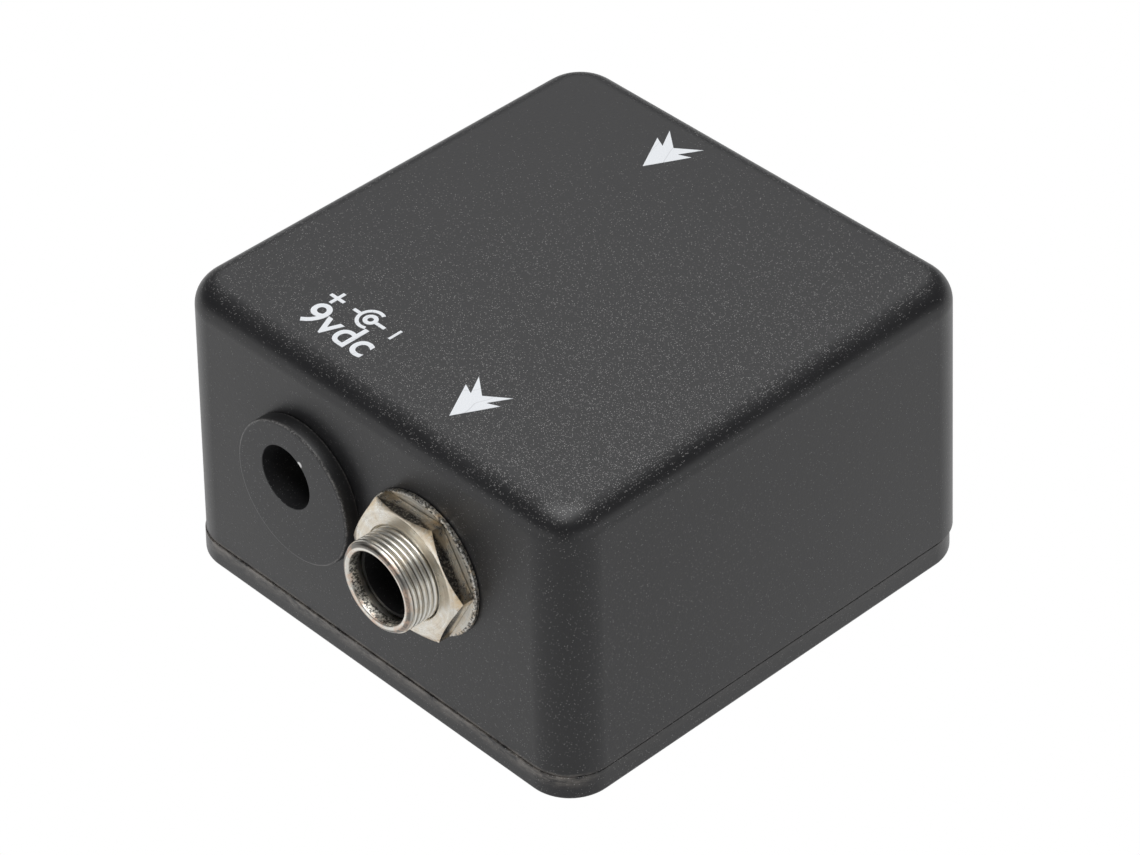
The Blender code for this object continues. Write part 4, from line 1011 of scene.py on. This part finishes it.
def make_nut(name):
    """A hexagon nut with the arcs that a turned chamfer leaves on its flats."""
    nut = primitive(
        name,
        bpy.ops.mesh.primitive_cylinder_add,
        vertices=6,
        radius=NUT_CORNER,
        depth=NUT_TOP - NUT_FOOT,
        location=(0, 0, (NUT_TOP + NUT_FOOT) / 2),
        rotation=(0, 0, NUT_TURN + math.radians(30)),
    )
    outer = NUT_CORNER + 0.001
    profile = [
        (0, NUT_FOOT - OVERCUT),
        (outer, NUT_FOOT - OVERCUT),
        (outer, NUT_TOP - NUT_FALL - 0.00062),
        (NUT_CORNER, NUT_TOP - NUT_FALL),
        (NUT_FACE_RADIUS, NUT_TOP),
        (NUT_FACE_RADIUS, NUT_TOP + OVERCUT),
        (0, NUT_TOP + OVERCUT),
    ]
    carve(nut, turned("chamfer", profile, 128), "INTERSECT")
    carve(nut, cylinder("bore", 0, 0, NUT_FOOT - OVERCUT, NUT_TOP + OVERCUT, 0.00442, 96))
    sink = cylinder("sink", 0, 0, NUT_TOP - 0.0003, NUT_TOP + 0.0003, 0.0043, 96, top=0.0049)
    cleaned(carve(nut, sink))
    bevel = {"limit_method": "ANGLE", "angle_limit": math.radians(28)}
    applied(nut, "BEVEL", width=0.00006, segments=2, **bevel)
    return smooth(nut, 40, weighted=True)


def make_inlet_moulding(name):
    """The inlet's body: a thick round flange with an off-centre bore, and a barrel behind it."""
    flange, barrel, face = INLET_FLANGE, INLET_BARREL, INLET_FACE
    profile = [
        (0, face),
        (flange - 0.00030, face),
        (flange - 0.00014, face - 0.00004),
        (flange - 0.00004, face - 0.00012),
        (flange, face - 0.00026),
        (flange + 0.00002, 0.00022),
        (flange - 0.00006, 0.00005),
        (barrel, 0.00005),
        (barrel, INLET_BACK + 0.0002),
        (barrel - 0.0002, INLET_BACK),
        (0, INLET_BACK),
    ]
    body = turned(name, profile, 128)
    x, y = INLET_AXIS
    low, high, rim = face - 0.00010, face + 0.00010, INLET_BORE - 0.00005
    carve(body, cylinder("bore", x, y, -0.0105, face + OVERCUT, INLET_BORE, 96))
    carve(body, cylinder("mouth", x, y, low, high, rim, 96, top=rim + 0.00020))
    carve(body, cylinder("pin_hole", x, y, -0.0140, -0.0100, 0.00135, 32))
    slot = box("slot", (x + 0.001425, y - 0.0012, -0.0140), (x + 0.00455, y + 0.0012, 0.0003))
    return smooth(cleaned(carve(body, slot)), 35, weighted=True)


def make_inlet_pin(name):
    """The inlet's centre pin, with a rounded tip and a cross slit."""
    tip = PIN_TIP
    profile = [
        (0, tip),
        (0.00045, tip - 0.00004),
        (0.00078, tip - 0.00018),
        (0.00098, tip - 0.00042),
        (0.00105, tip - 0.00075),
        (0.00105, -0.0141),
        (0.00063, -0.0142),
        (0.00063, -0.0165),
        (0, -0.0165),
    ]
    pin = turned(name, profile, 48, closed=False)
    slit = box("slit", (-0.00013, -0.0012, tip - 0.0032), (0.00013, 0.0012, tip + 0.001))
    cleaned(carve(pin, slit))
    return smooth(placed(pin, Matrix.Translation((*INLET_AXIS, 0))), 35)


def lead_feet(node, below):
    """Where a component's leads come out under the board, as the middles of their ends."""
    feet = []
    ends = [vert.co.xy for vert in NODES[node].data.vertices if vert.co.z < below]
    for end in ends:
        near = [spots for first, spots in feet if (first - end).length < 0.0009]
        if near:
            near[0].append(end)
        else:
            feet.append((end.copy(), [end]))
    return [sum(spots, Vector((0, 0))) / len(spots) for first, spots in feet]


def make_solder_joints(name):
    """One fillet of solder under the board, copied to every lead."""
    profile = [
        (0, -0.0010),
        (0.00022, -0.00098),
        (0.00038, -0.00068),
        (0.00058, -0.00034),
        (0.00088, -0.00010),
        (0.00100, 0.00002),
        (0, 0.00002),
    ]
    fillet = turned("fillet", profile, 14, closed=False)
    leadless = (
        "case", "cover", "bushing", "washer", "nut", "housing", "sheet", "board", "spring", "wire",
        "inlet",
    )
    nodes = [node for node in sorted(NODES) if not any(word in node for word in leadless)]
    joints = []
    for node in nodes:
        for foot in lead_feet(node, BOARD_LOW.z - 0.0003):
            joint = duplicate(fillet, "joint")
            joints.append(placed(joint, Matrix.Translation((foot.x, foot.y, BOARD_LOW.z))))
    bpy.data.objects.remove(fillet, do_unlink=True)
    return smooth(joined(name, joints), 50)


# Printed marks, drawn in millimetres on the top


def raised(obj, thickness):
    """Gives a flat face of ink its thickness."""
    with edit(obj):
        choose("FACE")
        bpy.ops.mesh.extrude_region_move(TRANSFORM_OT_translate={"value": (0, 0, thickness)})
    return cleaned(obj)


def outline(name, points, thickness):
    corners = [(x / 1000, y / 1000, CASE_HIGH.z) for x, y in points]
    return raised(draw(name, corners, fill=True), thickness)


def bar(name, start, end, width, thickness):
    """A straight stroke with square ends."""
    start, end = Vector(start), Vector(end)
    side = (end - start).normalized().orthogonal() * width / 2
    return outline(name, [start + side, end + side, end - side, start - side], thickness)


def arc(name, radius, width, first, sweep, thickness):
    """A round stroke about the polarity mark's middle, spun from a short radial line."""
    x, y = RING_X / 1000, MARK_ROW / 1000
    ahead = Vector((math.cos(math.radians(first)), math.sin(math.radians(first))))
    spots = [(radius - width / 2) / 1000, (radius + width / 2) / 1000]
    line = draw(name, [(x + ahead.x * spot, y + ahead.y * spot, CASE_HIGH.z) for spot in spots])
    with edit(line):
        choose("VERT")
        bpy.ops.mesh.spin(
            steps=max(6, round(sweep / 7)),
            angle=-math.radians(sweep),
            center=(x, y, CASE_HIGH.z),
            axis=(0, 0, 1),
        )
    return raised(cleaned(line), thickness)


def arrow(name, panel, size, thickness):
    """A flow arrow with two swept barbs on each side. It points towards -Y."""
    aside, tip, length, half_width = size
    shape = [(0.0, 0.0), (1.0, 0.72), (0.44, 0.62), (1.0, 1.0), (0.0, 0.70)]
    right = [(x * half_width, y * length) for x, y in shape]
    left = [(-x, y) for x, y in right[1:-1]]
    middle = panel.translation.x * 1000 + aside
    points = [(middle + x, tip + y) for x, y in right + left[::-1]]
    return outline(name, points, thickness)


def lettering(name, text, thickness):
    bpy.ops.object.select_all(action="DESELECT")
    bpy.ops.object.text_add()
    obj = bpy.context.object
    obj.data.body = text
    obj.data.size = LETTERS_SIZE / 1000
    obj.data.offset = LETTERS_SIZE * 0.000012
    obj.data.extrude = thickness / 2
    obj.data.resolution_u = 5
    only(obj)
    bpy.ops.object.convert(target="MESH")
    obj = named(bpy.context.object, name)
    x, y = LETTERS_AT
    spot = (x / 1000, y / 1000, CASE_HIGH.z + thickness / 2)
    return cleaned(placed(obj, Matrix.Translation(spot)))


# Settings


class EnclosureSettings(bpy.types.PropertyGroup):
    top_edge: bpy.props.FloatProperty(
        name="Top edge", description="Radius of the top's edge", default=0.0026, unit="LENGTH"
    )
    boss_bore: bpy.props.FloatProperty(
        name="Boss bore", description="Depth of the screw holes", default=0.0095, unit="LENGTH"
    )


class SocketSettings(bpy.types.PropertyGroup):
    thread_pitch: bpy.props.FloatProperty(
        name="Thread pitch", description="From crest to crest", default=0.00055, unit="LENGTH"
    )
    thread_depth: bpy.props.FloatProperty(
        name="Thread depth", description="From crest to root", default=0.00023, unit="LENGTH"
    )
    washer_radius: bpy.props.FloatProperty(
        name="Washer radius", description="Size of the washer", default=0.00694, unit="LENGTH"
    )


class InkSettings(bpy.types.PropertyGroup):
    thickness: bpy.props.FloatProperty(
        name="Ink thickness", description="Height of the print", default=0.00003, unit="LENGTH"
    )
    stroke: bpy.props.FloatProperty(
        name="Stroke", description="Width of the symbol's strokes in millimetres", default=0.36
    )


class FinishSettings(bpy.types.PropertyGroup):
    coat_dark: bpy.props.FloatVectorProperty(
        name="Coat, dark", description="Darker tone of the coat", subtype="COLOR",
        default=(0.0108, 0.0108, 0.0122),
    )
    coat_light: bpy.props.FloatVectorProperty(
        name="Coat, light", description="Lighter tone of the coat", subtype="COLOR",
        default=(0.0150, 0.0150, 0.0166),
    )
    coat_roughness: bpy.props.FloatProperty(
        name="Coat roughness", description="How matte the coat is", default=0.38, subtype="FACTOR"
    )
    grain: bpy.props.FloatProperty(
        name="Grain", description="Size of one bump of the coat", default=0.00010, unit="LENGTH"
    )
    fleck: bpy.props.FloatVectorProperty(
        name="Fleck", description="Colour of the light flecks", subtype="COLOR",
        default=(0.72, 0.71, 0.70),
    )
    fleck_share: bpy.props.FloatProperty(
        name="Fleck share", description="Share of bumps that are light", default=0.42,
        subtype="FACTOR",
    )
    fleck_strength: bpy.props.FloatProperty(
        name="Fleck strength", description="How much a fleck stands out", default=0.70,
        subtype="FACTOR",
    )
    scuff: bpy.props.FloatVectorProperty(
        name="Scuff", description="Colour of rubbed edges", subtype="COLOR",
        default=(0.22, 0.20, 0.18),
    )
    ink: bpy.props.FloatVectorProperty(
        name="Ink", description="Colour of the printed marks", subtype="COLOR",
        default=(0.92, 0.94, 0.97),
    )
    metal_light: bpy.props.FloatVectorProperty(
        name="Nickel, light", description="Bright nickel", subtype="COLOR",
        default=(0.92, 0.90, 0.84),
    )
    metal_dark: bpy.props.FloatVectorProperty(
        name="Nickel, dark", description="Dull nickel", subtype="COLOR",
        default=(0.70, 0.68, 0.62),
    )
    metal_roughness: bpy.props.FloatProperty(
        name="Nickel roughness", description="How dull the plating is", default=0.12,
        subtype="FACTOR",
    )
    tarnish: bpy.props.FloatProperty(
        name="Tarnish", description="Share of metal under brown film", default=0.5,
        subtype="FACTOR",
    )
    stain: bpy.props.FloatVectorProperty(
        name="Stain", description="Colour of thin tarnish", subtype="COLOR",
        default=(0.74, 0.56, 0.33),
    )
    rust: bpy.props.FloatVectorProperty(
        name="Brown film", description="Colour of thick tarnish", subtype="COLOR",
        default=(0.28, 0.17, 0.09),
    )


class StageSettings(bpy.types.PropertyGroup):
    top_light: bpy.props.FloatProperty(
        name="Top light", description="Light overhead", default=1.5, unit="POWER"
    )
    back_light: bpy.props.FloatProperty(
        name="Back light", description="Light behind", default=1.85, unit="POWER"
    )
    side_light: bpy.props.FloatProperty(
        name="Side light", description="Each light beside the box", default=0.30, unit="POWER"
    )
    front_light: bpy.props.FloatProperty(
        name="Front light", description="Small light in front", default=0.22, unit="POWER"
    )
    surround: bpy.props.FloatProperty(
        name="Surround", description="Strength of the white surround", default=0.12
    )


# Operators


class BOX_OT_finishes(bpy.types.Operator):
    """Make the shader groups and the finishes"""

    bl_idname = "injection_box.finishes"
    bl_label = "Finishes"

    def execute(self, context):
        looks = context.scene.box_finish
        make_powder_grain()
        make_tarnish()
        make_turned_marks()
        powder_coat(looks)
        zinc_plate()
        for side in PANELS:
            socket_nickel(side, looks)
        moulding("inlet_plastic", (0.022, 0.022, 0.024), 0.46, worn_rim=INLET_FLANGE)
        shaft = INLET_PANEL @ Matrix.Translation((*INLET_AXIS, 0))
        nickel("inlet_pin_nickel", shaft, looks, 0.0009, 0.0011)
        legend_ink(looks)
        solder()
        return {"FINISHED"}


class BOX_OT_case(bpy.types.Operator):
    """Build the case"""

    bl_idname = "injection_box.case"
    bl_label = "Case"

    def execute(self, context):
        shell = make_case_shell(context.scene.box_enclosure)
        finished(shell, "case", "powder_coat", "black_powder_coat", "case")
        return {"FINISHED"}


class BOX_OT_cover(bpy.types.Operator):
    """Build the bottom cover"""

    bl_idname = "injection_box.cover"
    bl_label = "Cover"

    def execute(self, context):
        cover = make_cover_shell()
        finished(cover, "cover", "powder_coat", "black_powder_coat", "bottom_cover")
        return {"FINISHED"}


class BOX_OT_screws(bpy.types.Operator):
    """Build the cover's four screws"""

    bl_idname = "injection_box.screws"
    bl_label = "Cover screws"

    def execute(self, context):
        screw = make_screw("countersunk_screw")
        for number, (low, high) in enumerate(SCREWS, 1):
            copy = duplicate(screw, f"countersunk_screw_{number}")
            turn = Matrix.Rotation(math.radians(37 * number), 4, "Z")
            middle = (low + high) / 2
            placed(copy, Matrix.Translation((middle.x, middle.y, 0)) @ turn)
            finished(copy, "cover", "zinc_plate", "zinc_plated_screw", f"cover_screw_{number}")
        bpy.data.objects.remove(screw, do_unlink=True)
        return {"FINISHED"}


class BOX_OT_sockets(bpy.types.Operator):
    """Build each socket's threaded bushing, hexagon nut and flat washer"""

    bl_idname = "injection_box.sockets"
    bl_label = "Socket metal"

    def execute(self, context):
        sizes = context.scene.box_sockets
        parts = {
            "bushing": make_bushing("threaded_bushing", sizes),
            "nut": make_nut("hexagon_nut"),
            "washer": make_washer("flat_washer", sizes),
        }
        for side, panel in PANELS.items():
            for part, piece in parts.items():
                copy = placed(duplicate(piece, f"{side}_{piece.name}"), panel)
                node = f"{side}_jack_{part}"
                finished(copy, "case", f"{side}_{part}_nickel", "nickel_plate", node)
        for piece in parts.values():
            bpy.data.objects.remove(piece, do_unlink=True)
        return {"FINISHED"}


class BOX_OT_inlet_body(bpy.types.Operator):
    """Build the low-voltage inlet's moulding"""

    bl_idname = "injection_box.inlet_body"
    bl_label = "Inlet moulding"

    def execute(self, context):
        body = placed(make_inlet_moulding("inlet_moulding"), INLET_PANEL)
        finished(body, "case", "inlet_plastic", "black_moulding", "dc_inlet_body")
        return {"FINISHED"}


class BOX_OT_inlet_pin(bpy.types.Operator):
    """Build the low-voltage inlet's centre pin"""

    bl_idname = "injection_box.inlet_pin"
    bl_label = "Inlet pin"

    def execute(self, context):
        pin = placed(make_inlet_pin("inlet_centre_pin"), INLET_PANEL)
        finished(pin, "case", "inlet_pin_nickel", "nickel_plate", "dc_inlet_pin")
        return {"FINISHED"}


class BOX_OT_legends(bpy.types.Operator):
    """Print the arrows, the voltage and the polarity marks on the top"""

    bl_idname = "injection_box.legends"
    bl_label = "Printed marks"

    def execute(self, context):
        ink = context.scene.box_ink
        stroke, thick = ink.stroke, ink.thickness
        row, left, right = MARK_ROW, PLUS_X - PLUS_ARM, PLUS_X + PLUS_ARM
        bars = {
            "plus_mark": [
                ((left, row), (right, row), stroke),
                ((PLUS_X, row - PLUS_ARM), (PLUS_X, row - stroke / 2), stroke),
                ((PLUS_X, row + stroke / 2), (PLUS_X, row + PLUS_ARM), stroke),
            ],
            "polarity_mark": [
                ((-10.0, row), (-9.22, row), stroke),
                ((-7.11, row), (-6.0, row), stroke),
            ],
            "minus_mark": [((-4.7, -17.2), (-4.7, -15.7), stroke * 0.8)],
        }
        marks = {
            "output_arrow": [arrow("output_arrow", PANELS["output"], OUTPUT_ARROW, thick)],
            "input_arrow": [arrow("input_arrow", PANELS["input"], INPUT_ARROW, thick)],
            **{name: [bar(name, *line, thick) for line in lines] for name, lines in bars.items()},
            "voltage_mark": [lettering("voltage", "9vdc", thick)],
        }
        marks["polarity_mark"] += [
            arc("ring", 1.2, stroke, 64, 232, thick),
            arc("dot", 0.49, 0.42, 0, 360, thick),
        ]
        for name, strokes in marks.items():
            finished(joined(name, strokes), "case", "legend_ink", "white_legend_ink")
        return {"FINISHED"}


class BOX_OT_solder(bpy.types.Operator):
    """Build the solder under the board"""

    bl_idname = "injection_box.solder"
    bl_label = "Solder joints"

    def execute(self, context):
        finished(make_solder_joints("solder_joints"), "case", "solder", "nickel_plate")
        return {"FINISHED"}


BROWN, BLACK, RED = (0.16, 0.06, 0.02), (0.01, 0.01, 0.01), (0.45, 0.03, 0.02)
ORANGE, GOLD = (0.75, 0.25, 0.03), (0.6, 0.42, 0.12)
BAND = 0.0003


def resistor(node):
    """Blue resistor with four bands. Every other one has red in place of black."""
    second = RED if node[-1] in "246" else BLACK
    bands = [
        (-0.0024, BAND, BROWN), (-0.0013, BAND, second), (-0.0002, BAND, ORANGE),
        (0.0021, BAND, GOLD),
    ]
    return component(node, (0.22, 0.42, 0.52), 1, 0.00316, bands)


def electrolytic(node):
    """Dark sleeve with a pale stripe on one side, and a bare top."""
    low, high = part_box(node)
    radius = (high.x - low.x) / 2
    stripe = [(-radius, radius * 0.35, (0.5, 0.52, 0.55))]
    cap = (high.z - BOARD_HIGH.z - 0.0001, radius * 0.8)
    return component(node, (0.03, 0.035, 0.07), 0, 0.02, stripe, 0.3, cap)


def film_capacitor(node):
    return component(node, (0.42, 0.06, 0.04), 0, 0.02)


class BOX_OT_inside(bpy.types.Operator):
    """Finish the parts inside, which keep their own shapes"""

    bl_idname = "injection_box.inside"
    bl_label = "Circuit and contacts"

    def execute(self, context):
        moulding("socket_plastic", (0.02, 0.02, 0.021), 0.42)
        contact_bronze()
        nickel("inlet_nut_nickel", INLET_PANEL, context.scene.box_finish, 0.0068, 0.0078)
        board_mask()
        fibre_sheet()
        insulation("red_wire", (0.5, 0.03, 0.02))
        insulation("black_wire", (0.012, 0.012, 0.012))
        band = [(0.0018, 0.0004, (0.55, 0.55, 0.55))]
        component("protection_diode", BLACK, 0, 0.00262, band, name="diode_body")
        component("op_amp", (0.018, 0.018, 0.019), 1, 0.00322, roughness=0.5, name="chip_body")
        finishes = {
            "circuit_board": "board_mask",
            "insulating_sheet": "fibre_sheet",
            "positive_wire": "red_wire",
            "negative_wire": "black_wire",
            "dc_inlet_nut": "inlet_nut_nickel",
            "protection_diode": "diode_body",
            "op_amp": "chip_body",
        }
        sorts = {"resistor": resistor, "film": film_capacitor, "electrolytic": electrolytic}
        for node in NODES:
            sort = next((sort for sort in sorts if node.startswith(sort)), None)
            if sort:
                finishes[node] = sorts[sort](node).name
            elif node.endswith("_housing"):
                finishes[node] = "socket_plastic"
            elif any(word in node for word in ("spring", "terminal", "contact", "tag")):
                finishes[node] = "contact_bronze"
        for node, finish in finishes.items():
            for slot in NODES[node].material_slots:
                slot.material = bpy.data.materials[finish]
        return {"FINISHED"}


class BOX_OT_stage(bpy.types.Operator):
    """Set up the floor, the lights, the surround and the camera"""

    bl_idname = "injection_box.stage"
    bl_label = "Floor, lights and camera"

    def execute(self, context):
        stage = context.scene.box_stage
        make_floor()
        make_lights(stage)
        make_surround(context.scene, stage.surround)
        make_camera(context.scene)
        context.scene.view_settings.view_transform = "Standard"
        return {"FINISHED"}


# Stage


def make_floor():
    """A plain pale floor under the lowest point that the cover reaches, clear from below.

    It is evenly white from above. In reflections it is paler at the back, like a lit sweep.
    """
    drop = max(joint["range_m"][1] for joint in frame["joints"] if joint["type"] == "slide")
    height = CAD_BOX[0].z - drop - 0.0005
    floor = primitive("floor", bpy.ops.mesh.primitive_grid_add, size=6, location=(0, 0, height))
    paint = Finish("floor_paint")
    tone = paint.noise(paint.place, 3.0, 2.0)
    base = paint.mix(tone, (0.90, 0.90, 0.90), (0.93, 0.93, 0.93))
    paint.put(paint.shader.inputs["Base Color"], base)
    paint.shader.inputs["Roughness"].default_value = 0.9
    glow = paint.add("ShaderNodeEmission", {"Color": (1, 1, 1, 1), "Strength": 1.0})
    clear = paint.add("ShaderNodeBsdfTransparent")
    below = paint.add("ShaderNodeNewGeometry").outputs["Backfacing"]
    seen = paint.add("ShaderNodeLightPath").outputs["Is Camera Ray"]
    x, y, z = paint.split(paint.place)
    far = paint.between(paint.minus(y, x), -0.062, 0.012, 0.10, 0.88)
    share = paint.math("MAXIMUM", seen, far)
    matte, glow, clear = (node.outputs[0] for node in (paint.shader, glow, clear))
    above = paint.add("ShaderNodeMixShader", {0: share, 1: matte, 2: glow}).outputs[0]
    both = paint.add("ShaderNodeMixShader", {0: below, 1: above, 2: clear}).outputs[0]
    output = next(node for node in paint.tree.nodes if node.type == "OUTPUT_MATERIAL")
    paint.put(output.inputs["Surface"], both)
    floor.data.materials.append(paint.material)


def make_lights(stage):
    middle = (CAD_BOX[0] + CAD_BOX[1]) / 2
    for name, offset, width, height, power in (
        ("top_light", (0.0, 0.0, 0.45), 0.40, 0.40, stage.top_light),
        ("back_light", (-0.60, 0.56, 0.66), 0.90, 0.60, stage.back_light),
        ("front_light", (0.16, -0.16, 0.42), 0.16, 0.16, stage.front_light),
        ("left_light", (-0.05, -0.42, 0.0), 0.60, 0.13, stage.side_light),
        ("right_light", (0.42, 0.05, 0.0), 0.60, 0.13, stage.side_light),
    ):
        data = bpy.data.lights.new(name, "AREA")
        data.shape = "RECTANGLE"
        data.size, data.size_y = width, height
        data.energy = power
        lamp = bpy.data.objects.new(name, data)
        lamp.location = middle + Vector(offset)
        lamp.rotation_mode = "QUATERNION"
        lamp.rotation_quaternion = (-Vector(offset)).to_track_quat("-Z", "Y")
        bpy.context.scene.collection.objects.link(lamp)
        lamp.visible_camera = False


def make_surround(scene, strength):
    """A white surround that looks pure white and lights more gently than it looks."""
    world = bpy.data.worlds.new("white_surround")
    world.use_nodes = True
    scene.world = world
    graph = Graph(world.node_tree)
    seen = graph.add("ShaderNodeLightPath").outputs["Is Camera Ray"]
    back = world.node_tree.nodes["Background"]
    back.inputs["Color"].default_value = (1, 1, 1, 1)
    graph.put(back.inputs["Strength"], graph.between(seen, 0.0, 1.0, strength, 1.0))


def make_camera(scene):
    turn, tilt, roll = (math.radians(angle) for angle in (47.197, 38.746, -1.519))
    flat = math.cos(tilt)
    back = Vector((math.sin(turn) * flat, -math.cos(turn) * flat, math.sin(tilt)))
    right = (-back).cross(Vector((0, 0, 1))).normalized()
    rolled = Matrix.Rotation(roll, 3, back)
    right, up = rolled @ right, rolled @ right.cross(-back)
    data = bpy.data.cameras.new("camera")
    data.sensor_width = 36.0
    data.lens = 146.42
    data.shift_x, data.shift_y = -0.0052, -0.0123
    data.clip_start, data.clip_end = 0.01, 20.0
    camera = bpy.data.objects.new("camera", data)
    scene.collection.objects.link(camera)
    place = Vector((0, 0, 0.015)) + back * 0.41218
    axes = Matrix((right, up, back)).transposed().to_4x4()
    camera.matrix_world = Matrix.Translation(place) @ axes
    scene.camera = camera


# Add-on


OPERATORS = (
    BOX_OT_finishes,
    BOX_OT_case,
    BOX_OT_cover,
    BOX_OT_screws,
    BOX_OT_sockets,
    BOX_OT_inlet_body,
    BOX_OT_inlet_pin,
    BOX_OT_legends,
    BOX_OT_solder,
    BOX_OT_inside,
    BOX_OT_stage,
)
SETTINGS = {
    "box_enclosure": EnclosureSettings,
    "box_sockets": SocketSettings,
    "box_ink": InkSettings,
    "box_finish": FinishSettings,
    "box_stage": StageSettings,
}


class BOX_PT_builder(bpy.types.Panel):
    """The builder's steps and settings"""

    bl_idname = "BOX_PT_builder"
    bl_label = "Injection Box"
    bl_space_type = "VIEW_3D"
    bl_region_type = "UI"
    bl_category = "Injection Box"

    def draw(self, context):
        layout = self.layout
        for operator in OPERATORS:
            layout.operator(operator.bl_idname)
        for name, kind in SETTINGS.items():
            column = layout.column()
            for setting in kind.__annotations__:
                column.prop(getattr(context.scene, name), setting)


CLASSES = (*SETTINGS.values(), *OPERATORS, BOX_PT_builder)


def register():
    for kind in CLASSES:
        bpy.utils.register_class(kind)
    for name, kind in SETTINGS.items():
        setattr(bpy.types.Scene, name, bpy.props.PointerProperty(type=kind))


def unregister():
    for name in SETTINGS:
        delattr(bpy.types.Scene, name)
    for kind in reversed(CLASSES):
        bpy.utils.unregister_class(kind)


def main():
    register()
    for operator in OPERATORS:
        step = getattr(bpy.ops.injection_box, operator.bl_idname.split(".")[1])
        if step() != {"FINISHED"}:
            raise RuntimeError(f"{operator.bl_label} did not finish")


if __name__ == "__main__":
    main()
